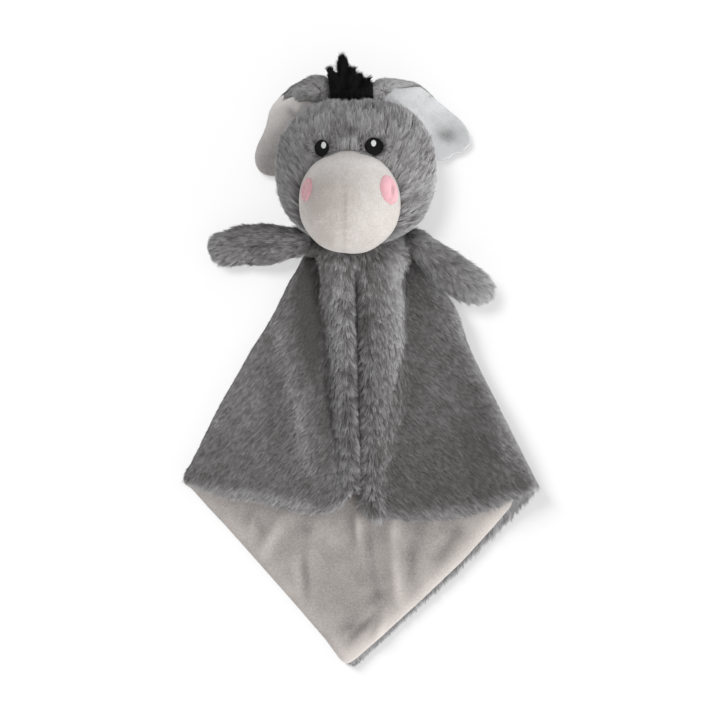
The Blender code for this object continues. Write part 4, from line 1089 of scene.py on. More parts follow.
# %% Muzzle with its seam
muzzle = swelling("muzzle_skin", MUZZLE_CENTRE, MUZZLE_HALF, 2.1, 7, muzzle_cloth)
place, normal = arrays(muzzle)
SEAM_X = -0.0086
from_seam = np.abs(place[:, 0] - SEAM_X)
lumps = 0.00025 * np.sin(place[:, 0] * 260 + 1.0) * np.sin(place[:, 1] * 230) * np.sin(place[:, 2] * 200)
sewn = 0.12 + 0.88 * step(0.0985 - place[:, 1], 0, 0.012) * (1 - 0.6 * step(0.0740 - place[:, 1], 0, 0.010))
sewn *= 0.70 + 0.30 * np.sin(place[:, 1] * 1500)
groove = sewn * (0.00020 * np.exp(-(from_seam / 0.0009) ** 2) + 0.00026 * np.exp(-(from_seam / 0.0032) ** 2))
move_to(muzzle, place - normal * (groove - lumps)[:, None])
# Painted shade, which evens out the window's light on the muzzle: darker along the seam's groove, on the left and
# lower left, over the lower part and at the very top, and paler on the right
muzzle_painted_shade = 0.50 * sewn * np.exp(-(from_seam / 0.0016) ** 2) + strokes(place[:, 0], place[:, 1], (
    (-0.0150, 0.1000, -0.0130, 0.0720, 0.0080, 0.20), (-0.0270, 0.0960, -0.0220, 0.0720, 0.0070, 0.30),
    (0.0080, 0.0980, 0.0100, 0.0780, 0.0080, -0.08), (-0.0240, 0.0700, -0.0140, 0.0640, 0.0055, 0.40)))
keep(muzzle, "painted_light_and_shade", "FLOAT", muzzle_painted_shade + 0.06 + 0.48 * step(0.1120 - place[:, 1], 0, 0.018)
     + 0.20 * step(place[:, 1], 0.1040, 0.1130))
dressed(muzzle, "head", "muzzle_velboa", "muzzle_left_panel", "muzzle_right_panel")
print("muzzle faces:", len(muzzle.data.polygons))

# %% [markdown]
# ## Embroidery
#
# The eyes and nostrils are patches of satin stitch: parallel threads laid side by side across the patch.
# Each thread starts as a guide line laid on the skin, and one node tree turns all guide lines of a patch
# into round threads. A patch of cloth lies under the threads, so that no gap shows.

# %% Node tree that lays threads along guide lines
def lay_threads_tree():
    tree, given, out = new_tree("lay threads", "GeometryNodeTree", [
        ("Geometry", "NodeSocketGeometry", None), ("Thread Radius", "NodeSocketFloat", 0.0002),
        ("Sides", "NodeSocketInt", 5), ("Material", "NodeSocketMaterial", None),
    ], [("Geometry", "NodeSocketGeometry")])
    line = add(tree, "GeometryNodeMeshToCurve")
    feed(tree, line.inputs[0], given.outputs["Geometry"])
    ring = add(tree, "GeometryNodeCurvePrimitiveCircle")
    feed(tree, ring.inputs["Resolution"], given.outputs["Sides"])
    feed(tree, ring.inputs["Radius"], given.outputs["Thread Radius"])
    tube = add(tree, "GeometryNodeCurveToMesh", Fill_Caps=True)
    feed(tree, tube.inputs["Curve"], line.outputs[0])
    feed(tree, tube.inputs["Profile Curve"], ring.outputs[0])
    real = add(tree, "GeometryNodeRealizeInstances")
    feed(tree, real.inputs[0], tube.outputs[0])
    soft = add(tree, "GeometryNodeSetShadeSmooth")
    feed(tree, soft.inputs["Geometry"], real.outputs[0])
    finish = add(tree, "GeometryNodeSetMaterial")
    feed(tree, finish.inputs["Geometry"], soft.outputs[0])
    feed(tree, finish.inputs["Material"], given.outputs["Material"])
    feed(tree, out.inputs[0], finish.outputs[0])
    return tree


LAY_THREADS = lay_threads_tree()


def threads(name, lines, radius, material, sides=5):
    """Threads along lines of points."""
    mesh = bpy.data.meshes.new(name)
    points, edges = [], []
    for line in lines:
        edges += [(len(points) + k, len(points) + k + 1) for k in range(len(line) - 1)]
        points += [tuple(p) for p in line]
    mesh.from_pydata(points, edges, [])
    thing = run_tree(put(name, mesh), LAY_THREADS, thread_radius=radius, sides=sides, material=material)
    print(f"{name}: {len(lines)} threads, {len(thing.data.polygons)} faces")
    return thing


# %% Eyes and their glints
def satin_disc(centre, halves, slant, gap, surface, rng):
    """Guide lines of parallel stitches that fill an oval, laid on a surface given as a function of x, y."""
    along, over = np.array([math.cos(slant), math.sin(slant)]), np.array([-math.sin(slant), math.cos(slant)])
    gap /= np.mean(halves)
    lines = []
    for offset in np.arange(-1 + gap / 2, 1, gap):
        half = math.sqrt(1 - offset ** 2) * rng.uniform(0.97, 1.03)
        line = []
        for s in np.linspace(-half, half, 7):
            x, y = np.array(centre) + np.array(halves) * (along * s + over * offset)
            line.append((x, y, float(surface(x, y)) - 0.0004 * (abs(s) / half) ** 6))
        lines.append(line)
    return lines


# Centres and half widths
GLINTS = {-1: ((-0.0199, 0.1174), (0.0013, 0.0018)), 1: ((0.0074, 0.1183), (0.0013, 0.0017))}
rng = random.Random(5)
for side, word in ((-1, "left"), (1, "right")):
    centre, halves = EYES[side]
    over_eye = lambda u, v: height_over(u, v, HEAD_CENTRE, HEAD_HALF + 0.0013, HEAD_POWER)
    lines = satin_disc(centre, np.array(halves) + 0.0003, 1.2, 0.00036, over_eye, rng)
    eye = threads(f"eye_{word}_stitches", lines, 0.00022, black_thread)
    dressed(eye, "head", "black_thread")
    over_glint = lambda u, v: height_over(u, v, HEAD_CENTRE, HEAD_HALF + 0.0018, HEAD_POWER)
    lines = satin_disc(*GLINTS[side], 1.2, 0.00030, over_glint, rng)
    glint = threads(f"eye_{word}_glint_stitches", lines, 0.0002, white_thread)
    dressed(glint, "head", "white_thread", f"eye_glint_{word}")
for node, material in (("eye_left", black_thread), ("eye_right", black_thread), ("head_filling", stuffing)):
    thing = frame["nodes"][node]
    thing.data.materials.clear()
    thing.data.materials.append(material)

# %% Nostrils, sewn flat on the left and pinched on the right
def onto_muzzle(point, way, proud):
    """Where a line along way through point leaves the muzzle, and a little proud of it."""
    half = MUZZLE_HALF + proud
    p, d = (point - MUZZLE_CENTRE) / half, way / half
    a, b, c = d @ d, 2 * p @ d, p @ p - 1
    return point + way * (-b + math.sqrt(max(b * b - 4 * a * c, 0.0))) / (2 * a)


# Painted shade in the creases where the right nostril's threads are pulled in, and one paler mark: both ends in
# metres, half width and how much darker
NOSTRIL_MARKS = ((0.0186, 0.0945, 0.0178, 0.0885, 0.0008, 0.62), (0.0141, 0.0960, 0.0157, 0.0890, 0.0012, -0.30),
                 (0.0178, 0.0885, 0.0160, 0.0850, 0.0010, 0.30))


def nostril(word, side, radius, narrow, tilt, pinch, shaded):
    """A patch of stitches: narrow is its width as a share of its height, tilt the degrees from straight up."""
    tilt, azimuth = math.radians(tilt), math.radians(13.0)
    way = np.array([side * math.sin(tilt) * math.cos(azimuth), math.sin(tilt) * math.sin(azimuth), math.cos(tilt)])
    up = np.array([0.0, 1.0, 0.0]) - way * way[1]
    up /= np.linalg.norm(up)
    out = np.cross(up, way)
    rng = random.Random(8 + side)
    turns, rings = 72, 16
    rough = [1 + rng.uniform(-0.05, 0.05) for _ in range(turns)]
    points, lines = [], []
    def spot(r, angle, proud):
        u, v = narrow * r * math.cos(angle), r * math.sin(angle)
        dent = pinch * (math.exp(-((u / 0.0012) ** 2 + (v / 0.0034) ** 2))
                        + 0.6 * math.exp(-(((u - 0.5 * v) / 0.0007) ** 2 + (v / 0.004) ** 2)))
        return onto_muzzle(MUZZLE_CENTRE + out * u + up * v, way, proud - dent)
    for k in range(rings + 1):
        share = k / rings
        for t in range(turns):
            r = radius * share * (1 + (rough[t] - 1) * share ** 4)
            points.append(spot(r, 2 * math.pi * t / turns, 0.0007 - 0.0006 * share ** 4))
    faces = [(k * turns + t, (k + 1) * turns + t, (k + 1) * turns + (t + 1) % turns, k * turns + (t + 1) % turns)
             for k in range(rings) for t in range(turns)]
    patch = from_points(f"nostril_{word}_patch", points, faces, pink_thread)
    mesh = bmesh.new()
    mesh.from_mesh(patch.data)
    bmesh.ops.remove_doubles(mesh, verts=mesh.verts, dist=1e-7)
    bmesh.ops.recalc_face_normals(mesh, faces=mesh.faces)
    if sum(f.normal.dot(Vector(way)) for f in mesh.faces) < 0:
        bmesh.ops.reverse_faces(mesh, faces=mesh.faces)
    mesh.to_mesh(patch.data)
    mesh.free()
    patch.data.shade_smooth()
    keep(patch, "painted_light_and_shade", "FLOAT", shaded + strokes(*arrays(patch)[0][:, :2].T, NOSTRIL_MARKS))
    dressed(patch, "head", "pink_thread", f"nostril_{word}")
    for k in range(int(2 * radius / 0.00042)):
        offset = -radius + 0.00042 * (k + 0.5)
        half = math.sqrt(max(radius ** 2 - offset ** 2, 0)) * rng.uniform(0.90, 1.06)
        stops = [(math.hypot(offset, s), math.atan2(s, offset)) for s in np.linspace(-half, half, 9)]
        lines.append([spot(r, angle, 0.0008 - 0.0006 * (r / radius) ** 4) for r, angle in stops])
    stitched = threads(f"nostril_{word}_stitches", lines, 0.00024, pink_thread, sides=4)
    keep(stitched, "painted_light_and_shade", "FLOAT", shaded + strokes(*arrays(stitched)[0][:, :2].T, NOSTRIL_MARKS))
    dressed(stitched, "head", "pink_thread")


# The last number is painted shade: the left nostril, turned away from the light, is painted darker than the right one
nostril("left", -1, 0.0066, 0.82, 61.5, 0.0003, 0.45)
nostril("right", 1, 0.0080, 0.93, 55.5, 0.0004, 0.10)

# %% [markdown]
# ## Ears
#
# Each ear is a leaf of plush lined with pale velour and gathered at its root, where the plush wraps round to
# the front. The lining shows bare, so it is drawn as a fine grid with its dents. The plush is remeshed from
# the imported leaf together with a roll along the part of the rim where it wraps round.

# %% Leaf of the ear
EAR_LENGTH, EAR_HALF, EAR_ROOT_RADIUS, EAR_ROOT_Z, EAR_TIP_Z = 0.0560, 0.0142, 0.0055, 0.0200, 0.0030
EARS = {-1: (np.array([-0.0225, 0.1479]), 49.0), 1: (np.array([0.0160, 0.1486]), 35.0)}
PLUSH_WALL, EAR_INSET = 0.0025, -0.0003


def leaf_half(along, inset):
    root, length, half = EAR_ROOT_RADIUS - inset, EAR_LENGTH - inset, EAR_HALF - inset
    swell = root + (half - root) * step(along, 0, 0.24 * EAR_LENGTH)
    beyond = np.clip((along - 0.62 * length) / (0.38 * length), 0, 1)
    swell = swell * np.sqrt(np.maximum(1 - beyond ** 2.2, 0))
    return np.where(along <= 0, np.sqrt(np.maximum(root ** 2 - np.minimum(along, 0) ** 2, 0)), swell)


def ear_axes(side):
    """An ear's root and the unit vectors along and across its leaf, in the floor's plane."""
    root, droop = EARS[side]
    angle = math.radians(droop)
    forward = np.array([side * math.cos(angle), -math.sin(angle)])
    return root, forward, np.array([-forward[1], forward[0]])

def leaf_place(side, along, across):
    """Points of the floor plane for distances along and across a leaf, and the leaf's underside level."""
    root, forward, over = ear_axes(side)
    xy = root + along[..., None] * forward + across[..., None] * over
    cup = 0.0016 * (across / EAR_HALF) ** 2 * step(4 * along / EAR_LENGTH, 0, 1)
    level = EAR_ROOT_Z + (EAR_TIP_Z - EAR_ROOT_Z) * step(along, 0, 0.72 * EAR_LENGTH) + cup
    return xy, level


# How the ears lie beside their packed place: degrees of turn, how much shorter at places across, and how much
# wider near the root on the upper side
EAR_LIE = {-1: (4.5, (-0.012, -0.004, 0.004, 0.012), (0.0010, 0.0026, 0.0052, 0.0062), 0.0046),
           1: (0.0, (-0.0111, -0.0037, 0.0030, 0.0070), (0.0050, 0.0072, 0.0036, 0.0012), 0.0)}


def lain(side, xy):
    """Points of an ear moved to where it lies."""
    (root, forward, over), (turn, places, shorter, wider) = ear_axes(side), EAR_LIE[side]
    local = xy - root
    along, across = local @ forward, local @ over
    swing = -side * math.radians(turn) * step(along, 0.0, 0.0220)
    across = across - wider * step(-across, 0.004, 0.012) * np.exp(-((along - 0.0200) / 0.0105) ** 2)
    along = along - np.interp(across, places, shorter) * step(along, 0.0160, 0.0480)
    ahead = along * np.cos(swing) - across * np.sin(swing)
    aside = along * np.sin(swing) + across * np.cos(swing)
    return root + ahead[..., None] * forward + aside[..., None] * over


def cut(thing, cutter):
    """Takes the cutter's room out of a closed mesh."""
    knife = thing.modifiers.new("cut", "BOOLEAN")
    knife.operation, knife.solver, knife.object = "DIFFERENCE", "EXACT", cutter
    applied(thing)
    thing.data.shade_smooth()


ear_room = swelling("room for the ears", HEAD_CENTRE, HEAD_HALF + 0.0006, HEAD_POWER, 5, None)
ear_room.hide_render = True
# Dents and folds of the linings: along and across in metres, both half widths and the height
DENTS = {
    -1: ((0.018, 0.001, 0.012, 0.0018, -0.0009), (0.016, 0.006, 0.010, 0.0030, 0.0012),
         (0.034, -0.004, 0.014, 0.0030, 0.0008), (0.010, -0.003, 0.007, 0.0016, -0.0009)),
    1: ((0.0390, 0.0027, 0.0070, 0.0050, -0.0016), (0.0520, 0.0030, 0.0060, 0.0040, 0.0008),
        (0.0180, 0.0030, 0.0120, 0.0022, -0.0006), (0.0120, -0.0020, 0.0080, 0.0016, -0.0009),
        (0.0330, -0.0040, 0.0100, 0.0040, 0.0007)),
}
# The same for the painted light and shade of the linings' folds, creases and dents: amounts below 0 show paler, above
# 0 darker
EAR_SHADES = {
    -1: ((0.0150, 0.0000, 0.0150, 0.0018, 0.30), (0.0122, -0.0058, 0.0036, 0.0028, -0.36),
         (0.0168, -0.0074, 0.0018, 0.0036, 0.36),
         (0.0080, 0.0030, 0.0080, 0.0030, 0.12), (0.0500, -0.0020, 0.0100, 0.0100, 0.14)),
    1: ((0.0392, 0.0026, 0.0060, 0.0042, 0.48), (0.0345, 0.0006, 0.0046, 0.0030, 0.16),
        (0.0300, 0.0020, 0.0120, 0.0030, 0.07), (0.0480, -0.0050, 0.0110, 0.0060, -0.26)),
}
for side, word in ((-1, "left"), (1, "right")):
    span = np.linspace(0, 1, 90)
    behind_root = (EAR_ROOT_RADIUS - EAR_INSET) * 0.98
    along = -behind_root + (EAR_LENGTH - EAR_INSET + behind_root) * (1 - np.cos(np.pi * span)) / 2
    along = np.repeat(along[:, None], 50, axis=1)
    across = leaf_half(along, EAR_INSET) * np.linspace(-1, 1, 50)[None, :]
    xy, level = leaf_place(side, along, across)
    xy = lain(side, xy)
    dent = sum(rise * np.exp(-((along - a) / la) ** 2 - ((across - c) / lc) ** 2)
               for a, c, la, lc, rise in DENTS[side])
    soft_rim = 0.0006 * (np.abs(across) / np.maximum(leaf_half(along, EAR_INSET), 1e-4)) ** 8
    base = level + PLUSH_WALL + 0.0003
    top = np.dstack([xy, base + 0.0018 + dent - soft_rim])
    under = np.dstack([xy, base - 3 * soft_rim])
    lining = slab(f"ear_{word}_lining_cloth", top, under, EAR_CLOTH[side])
    cut(lining, ear_room)
    root, forward, over = ear_axes(side)
    local = arrays(lining)[0][:, :2] - root
    a, c = local @ forward, local @ over
    # The left one lies in the head's shade but for its outer edge, and that shade is painted on: darker away from the
    # edge
    from_edge = c + leaf_half(a, EAR_INSET)
    shaded = 0.42 * step(from_edge, 0.0022, 0.0125) * (side < 0)
    keep(lining, "painted_light_and_shade", "FLOAT", shaded + sum(
        amount * np.exp(-((a - at) / la) ** 2 - ((c - off) / lc) ** 2)
        for at, off, la, lc, amount in EAR_SHADES[side]))
    dressed(lining, f"ear_{word}", "ear_lining", f"ear_{word}_lining")
    print(lining.name, len(lining.data.polygons), "faces")

# %% Rolls of plush where an ear is gathered
def rope(points, radii, sides=14):
    """A closed round form along points, with its own radius at each."""
    mesh = bpy.data.meshes.new("roll")
    points = [Vector(p) for p in points]
    made, faces = [], []
    for k, (point, radius) in enumerate(zip(points, radii)):
        ahead = (points[min(k + 1, len(points) - 1)] - points[max(k - 1, 0)]).normalized()
        one = ahead.cross(Vector((0, 0, 1))).normalized()
        two = ahead.cross(one)
        for s in range(sides):
            angle = 2 * math.pi * s / sides
            made.append(point + one * radius * math.cos(angle) + two * radius * math.sin(angle))
        if k:
            for s in range(sides):
                n = (s + 1) % sides
                faces.append(((k - 1) * sides + s, k * sides + s, k * sides + n, (k - 1) * sides + n))
    faces.append(tuple(range(sides)))
    faces.append(tuple(reversed(range((len(points) - 1) * sides, len(points) * sides))))
    mesh.from_pydata([tuple(p) for p in made], [], faces)
    return mesh


def smooth_line(points, count):
    """More points on a curve through the given ones (Catmull-Rom)."""
    p = np.array(points, float)
    p = np.vstack([2 * p[0] - p[1], p, 2 * p[-1] - p[-2]])
    out = []
    for t in np.linspace(0, len(p) - 3 - 1e-9, count):
        k, f = int(t) + 1, t - int(t)
        a, b, c, d = p[k - 1], p[k], p[k + 1], p[k + 2]
        out.append(0.5 * (2 * b + (c - a) * f + (2 * a - 5 * b + 4 * c - d) * f * f
                          + (3 * b - a - 3 * c + d) * f ** 3))
    return np.array(out)


# Places in metres with the roll's radius
ROLLS = {
    -1: (((-0.0150, 0.1500, 0.0215, 0.0056), (-0.0235, 0.1545, 0.0230, 0.0050), (-0.0320, 0.1525, 0.0225, 0.0040),
          (-0.0385, 0.1490, 0.0205, 0.0028), (-0.0425, 0.1445, 0.0180, 0.0014)),
         ((-0.0190, 0.1480, 0.0240, 0.0048), (-0.0270, 0.1495, 0.0240, 0.0040), (-0.0340, 0.1480, 0.0225, 0.0026))),
    1: (((0.0085, 0.1500, 0.0215, 0.0054), (0.0140, 0.1530, 0.0225, 0.0048), (0.0215, 0.1552, 0.0210, 0.0026),
         (0.0310, 0.1535, 0.0190, 0.0023), (0.0390, 0.1490, 0.0160, 0.0016)),
        ((0.0090, 0.1465, 0.0240, 0.0042), (0.0130, 0.1480, 0.0240, 0.0034))),
}
for side, word in ((-1, "left"), (1, "right")):
    rolls = []
    for points in ROLLS[side]:
        line = smooth_line(points, 16)
        rolls.append((line, rope(line[:, :3], line[:, 3])))
    plush = skin_from(f"ear_{word}_plush", [f"ear_{word}_plush_back"], 0.0009, 4, grey_backing,
                      extra=[mesh for _, mesh in rolls])
    place = arrays(plush)[0]
    place[:, :2] = lain(side, place[:, :2])
    move_to(plush, place)
    place, normal = arrays(plush)
    root, droop = EARS[side]
    angle = math.radians(droop)
    forward = np.array([side * math.cos(angle), -math.sin(angle), 0.0])
    from_root = place[:, :2] - root
    along = from_root @ forward[:2]
    across = from_root @ np.array([-forward[1], forward[0]])
    every = np.vstack([line for line, _ in rolls])
    on_roll = np.zeros(len(place))
    for px, py, pz, pr in every:
        off = np.hypot(np.hypot(place[:, 0] - px, place[:, 1] - py), place[:, 2] - pz)
        on_roll = np.maximum(on_roll, 1 - step(off, pr * 1.05, pr * 1.25))
    shown = on_roll * (normal[:, 2] > -0.4)
    within = (normal[:, 2] < -0.9) & (np.abs(across) < 0.0085) & (along < 0.0420)
    behind = (normal[:, 2] < -0.3) * 0.45 * (within | (place[:, 2] > 0.0045))
    fan = from_root / np.maximum(np.linalg.norm(from_root, axis=1), 1e-6)[:, None]
    way = np.column_stack([fan * 0.7 + forward[:2] * 0.5, np.full(len(place), -0.25)])
    way /= np.linalg.norm(way, axis=1)[:, None]
    length = 0.0030 * on_roll + 0.0024 * (1 - on_roll)
    # Painted shade: the left ear's plush, which lies in the head's shade, is darker than the right one's
    grown = pile(f"ear_{word}_pile", plush, way * length[:, None], 0.16, np.maximum(shown, behind), 0.45 if side < 0 else 0.74, 0.8,
                 strands_per_square_metre=9.0e6, strand_width=0.00036, tuft_spacing=0.0014, tuft_pull=0.5,
                 scatter=0.16, segments=2, seed=60 + side)
    bare(plush)
    dressed(plush, f"ear_{word}", "grey_plush", f"ear_{word}_plush_back")
    dressed(grown, f"ear_{word}", "grey_plush")
bpy.data.objects.remove(ear_room)

# %% [markdown]
# ## Mane
#
# The mane is a strip of longer black pile in a few locks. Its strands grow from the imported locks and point
# away from the crown, so that the tuft keeps its ragged outline: a tall lock, a spike on the left and a slope
# of short ones on the right.

# %% Mane
# The strands stand between the locks too, so fillets fill the gaps: foot, tip and both radii in metres
BETWEEN = (
    ((-0.0096, 0.1450), (-0.0112, 0.1676), 0.0036, 0.0010), ((-0.0090, 0.1450), (-0.0096, 0.1688), 0.0046, 0.0012),
    ((-0.0075, 0.1450), (-0.0084, 0.1668), 0.0050, 0.0012), ((-0.0050, 0.1450), (-0.0058, 0.1618), 0.0050, 0.0016),
    ((-0.0022, 0.1450), (-0.0026, 0.1584), 0.0046, 0.0018), ((0.0004, 0.1450), (0.0012, 0.1562), 0.0044, 0.0018),
    ((0.0028, 0.1440), (0.0044, 0.1544), 0.0038, 0.0018), ((-0.0102, 0.1470), (-0.0148, 0.1580), 0.0032, 0.0014),
)
fillets = []
for foot, tip, wide, thin in BETWEEN:
    line = [np.array([*(np.array(foot) + (np.array(tip) - foot) * s), 0.0275]) for s in np.linspace(0, 1, 6)]
    fillets.append(rope(line, np.linspace(wide, thin, 6)))
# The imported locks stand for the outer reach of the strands, so the skin's tips lie a little inside them
locks = put("locks", frame["nodes"]["mane_tuft"].data.copy())
place = arrays(locks)[0]
foot = np.array([-0.0045, 0.1330])
shorter = np.interp(place[:, 0], [-0.0190, -0.0150, -0.0120, -0.0040, 0.0020], [0.05, 0.10, 0.12, 0.17, 0.20])
place[:, :2] -= (place[:, :2] - foot) * (shorter * step(place[:, 1], 0.1440, 0.1600))[:, None]
place[:, 0] -= 0.14 * (place[:, 0] - foot[0])
move_to(locks, place)
mane_skin = skin_from("mane_skin", [], 0.0009, 3, black_pile, extra=[locks.data] + fillets)
bpy.data.objects.remove(locks)
place, normal = arrays(mane_skin)
out = place[:, :2] - foot
out /= np.linalg.norm(out, axis=1)[:, None]
way = np.column_stack([out, 0.12 * normal[:, 2]])
outline = step(0.6 - np.abs(normal[:, 2]), 0.0, 0.5)
mane_pile = pile("mane_pile", mane_skin, way * (0.0036 - 0.0010 * outline)[:, None], 0.22,
                 (place[:, 1] > 0.1400) * 1.0, 0.5, material=black_pile, strands_per_square_metre=8e6,
                 strand_width=0.00046, tuft_spacing=0.0019, tuft_pull=0.78, scatter=0.42, segments=2, seed=77)
bare(mane_skin)
dressed(mane_skin, "head", "black_pile", "mane_tuft")
dressed(mane_pile, "head", "black_pile")

# %% [markdown]
# ## Arms and neck
#
# The arms are small stuffed bags of plush, brushed from the shoulder to the hand. The neck is the gathered
# seam under the chin. Its pile spreads out from under the muzzle, and it bends between the blanket and the
# head when the head nods.

# %% Arms
ARM_LINES = {"left": ((-0.0335, 0.0665), 176.0, 0.0530), "right": ((0.0315, 0.0665), -36.0, 0.0560)}


def lay_arm(thing, word):
    """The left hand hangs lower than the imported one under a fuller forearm; the right arm is shorter."""
    place = arrays(thing)[0]
    shoulder, turn = ARM_LINES[word][:2]
    if word == "left":
        above = place[:, 1] - shoulder[1] - 0.0012
        fuller = np.where(above > 0, 0.0018, -0.0014) * np.minimum(np.abs(above) / 0.005, 1)
        place[:, 1] += fuller * np.exp(-((place[:, 0] + 0.0500) / 0.0120) ** 2)
        place[:, 1] -= 0.0044 * step(-place[:, 0], 0.0620, 0.0790)
    else:
        forward = np.array([math.cos(math.radians(turn)), math.sin(math.radians(turn))])
        along = (place[:, :2] - np.array(shoulder)) @ forward
        place[:, :2] -= forward * (0.0034 * step(along, 0.0260, 0.0520))[:, None]
    move_to(thing, place)


for k, (word, (shoulder, turn, reach)) in enumerate(ARM_LINES.items()):
    nodes = [f"arm_{word}_front_panel", f"arm_{word}_back_panel"]
    arm = skin_from(f"arm_{word}_skin", nodes + [f"arm_{word}_filling"], 0.0012, 4, grey_backing)
    inside = put(f"arm_{word}_stuffing", frame["nodes"][f"arm_{word}_filling"].data.copy(), stuffing)
    for piece in (arm, inside):
        lay_arm(piece, word)
    dressed(inside, f"arm_{word}", "stuffing", f"arm_{word}_filling")
    place, normal = arrays(arm)
    angle = math.radians(turn)
    forward = np.array([math.cos(angle), math.sin(angle)])
    over = np.array([-forward[1], forward[0]])
    local = place[:, :2] - np.array(shoulder)
    along, across = local @ forward, local @ over
    spread = 0.5 * across / 0.010 * step(along, -0.004, 0.02)
    if word == "left":
        spread = spread + 0.16
    way2 = forward[None, :] + over[None, :] * spread[:, None]
    way = np.column_stack([way2 / np.linalg.norm(way2, axis=1)[:, None], np.full(len(place), -0.15)])
    # Below, the pile is pressed flat against what the arm lies on
    density = np.where(normal[:, 2] > -0.55, 1.0, 0.30)
    rim = 1 - step(normal[:, 2], 0.05, 0.65)
    hand = step(along, reach - 0.0100, reach)
    # Painted light on the pile: each arm paler towards its hand, the right one also along its upper side
    if word == "left":
        shade = 0.23 + 0.26 * step(along, 0.026, 0.046) + 0.34 * step(along, 0.046, 0.056)
    else:
        shade = 0.39 + 0.34 * step(along, 0.024, 0.050) + 0.30 * step(across, 0.001, 0.008)
    grown = pile(f"arm_{word}_pile", arm, way * (0.0052 - 0.0026 * np.maximum(rim, hand))[:, None],
                 0.30 - 0.20 * np.maximum(rim, hand), density, shade, 1.0, strands_per_square_metre=8.8e6,
                 strand_width=0.00036, tuft_spacing=0.0014, tuft_pull=0.70, scatter=0.18, segments=2, seed=80 + k)
    bare(arm)
    dressed(arm, f"arm_{word}", "grey_plush", *nodes)
    dressed(grown, f"arm_{word}", "grey_plush")

# %% Tops of the folds, gathered into the neck's seam
CAPE_LEVEL = 0.0083
ABOVE_NECK = ((0.0300, 0.0340, 0.0370, 0.0400, 0.0440, 0.0500, 0.0560, 0.0640, 0.0710),
              (0.0098, 0.0112, 0.0118, 0.0122, 0.0131, 0.0152, 0.0170, 0.0158, 0.0124))


def fold_profile(away, width, slope):
    """Height across a fold from its valley, as a share of its crest; slope is its fall to the side."""
    floor = 0.83 - slope
    inner = floor + (1 - floor) * np.sin(np.pi / 2 * np.clip(away / CREST, 0, 1))
    outer = 1 - slope * (1 - np.cos(np.pi / 2 * np.clip((away - CREST) / (width - CREST), 0, 1)))
    return np.where(away < CREST, inner, outer) * (1 - step(away, width - 0.0004, width + 0.0020))


Y, X = np.meshgrid(np.linspace(ABOVE_NECK[0][0], ABOVE_NECK[0][-1], 48), np.linspace(-0.0255, 0.0300, 74),
                   indexing="ij")
valley = np.interp(Y, [HEM_Y, NECK_Y], [0.0006, -0.0029])
wide = 0.0260 + 0.0045 * step(Y, 0.0580, 0.0660)
slope = 0.48 - 0.30 * step(Y, 0.0400, 0.0510)
share = np.where(X < valley, fold_profile(valley - X, 0.0196, slope), fold_profile(X - valley, wide, slope))
Z = CAPE_LEVEL - 0.0006 + np.interp(Y, *ABOVE_NECK) * share
under = np.full_like(Z, CAPE_LEVEL - 0.0016)
fold_tops = slab("fold tops", np.stack([X, Y, Z], axis=-1), np.stack([X, Y, under], axis=-1), None)

# %% Neck
neck = skin_from("neck_skin", ["neck_gather"], 0.0009, 3, grey_backing, extra=[fold_tops.data])
bpy.data.objects.remove(fold_tops)
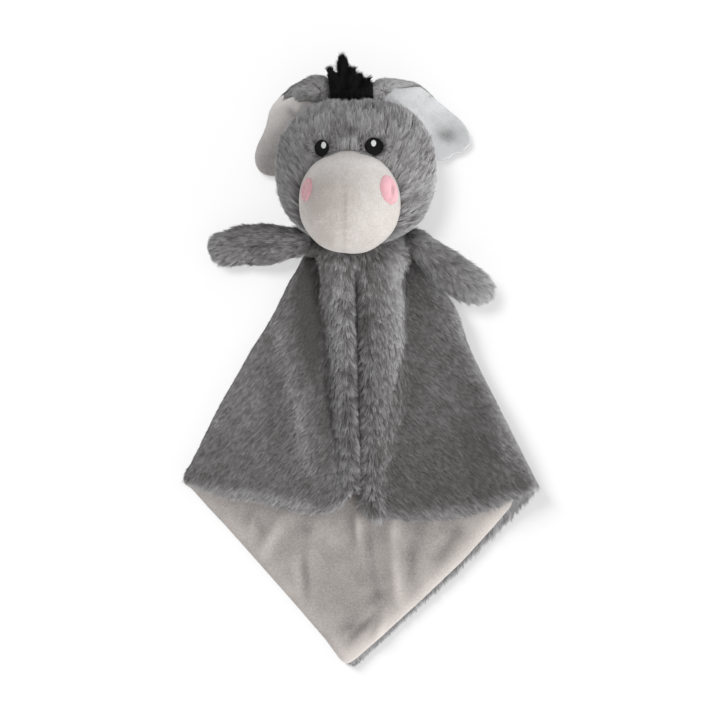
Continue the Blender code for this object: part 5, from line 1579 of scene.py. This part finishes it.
# The left end is drawn in under the arm, so that the blanket's corner, painted dark with the shade there, shows below
# it
place = arrays(neck)[0]
place[:, 1] += 0.0062 * step(-place[:, 0], 0.0222, 0.0244) * np.clip((0.0680 - place[:, 1]) / 0.0160, 0, 1)
move_to(neck, place)
place, normal = arrays(neck)
x, y = place[:, 0], place[:, 1]
side = np.where(x < valley_x(y), -1, 1)
turn, shade, contrast, onto = (np.zeros(len(place)) for _ in range(4))
for s in (-1, 1):
    turns, on, away = cape_brush(place, s)
    shades, contrasts = cape_shade(place, s, on, away)
    for whole, part in ((turn, turns), (shade, shades), (contrast, contrasts), (onto, on)):
        whole[side == s] = part[side == s]
from_chin = np.degrees(np.arctan2(x + 0.0055, y - 0.0800))
near_chin = step(y, 0.044, 0.060)
turn = turn + (np.where(from_chin < 0, from_chin + 360, from_chin) - turn) * near_chin * 0.8
# Painted shade: the roll's ends beside the arms are darker, the left end under the arm darkest, and so is the left
# fold's crest near the chin
at_end = step(np.where(x < 0, -x - 0.0208, x - 0.0240), 0.0, 0.0022) * step(0.0680 - y, 0.0, 0.0040)
in_shadow = at_end * (x < 0) * step(0.0620 - y, 0.0, 0.0030)
shade = shade * (1 - at_end) - 0.40 * in_shadow
shade -= 0.30 * step(y, 0.040, 0.048) * step(-x, 0.003, 0.007) * step(0.0220 + x, 0, 0.005)
neck_pile = pile("neck_pile", neck, heading(turn, 0.15) * (0.0048 - 0.0020 * at_end)[:, None],
                 0.28 - 0.18 * at_end, (normal[:, 2] > -0.4) * step(y, 0.0325, 0.0350), shade, contrast * (1 - 0.5 * at_end),
                 strands_per_square_metre=8.4e6, strand_width=0.00036, tuft_spacing=0.0015, tuft_pull=0.70,
                 scatter=0.18, shade_grain=130.0, segments=2, seed=90)
bare(neck)
for piece in (neck, neck_pile):
    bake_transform(piece, "blanket", "head", start=(-0.002, 0.0560, 0.0166), end=(-0.002, 0.0680, 0.0166))
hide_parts("neck_gather")
print("pile in all:", total_faces, "triangles")

# %% [markdown]
# ## Finish
#
# Each piece is given to one of the two shadow lamps, and the pieces and their triangles are counted. The
# dressed toy may stand only a little proud of its imported model.

# %% Which pieces throw which shadow
thin, tall = bpy.data.collections.new("thin_pieces"), bpy.data.collections.new("tall_pieces")
for thing in bpy.context.scene.objects:
    if thing.type == "MESH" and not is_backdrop(thing):
        (thin if thing.name.startswith(("blanket_", "cape_")) else tall).objects.link(thing)
low_lamp.light_linking.blocker_collection = thin
high_lamp.light_linking.blocker_collection = tall

# %% Pieces and triangles
shown = [o for o in bpy.context.scene.objects if o.type == "MESH" and not o.hide_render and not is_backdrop(o)]
print(len(shown), "pieces,", sum(len(p.vertices) - 2 for o in shown for p in o.data.polygons), "triangles")
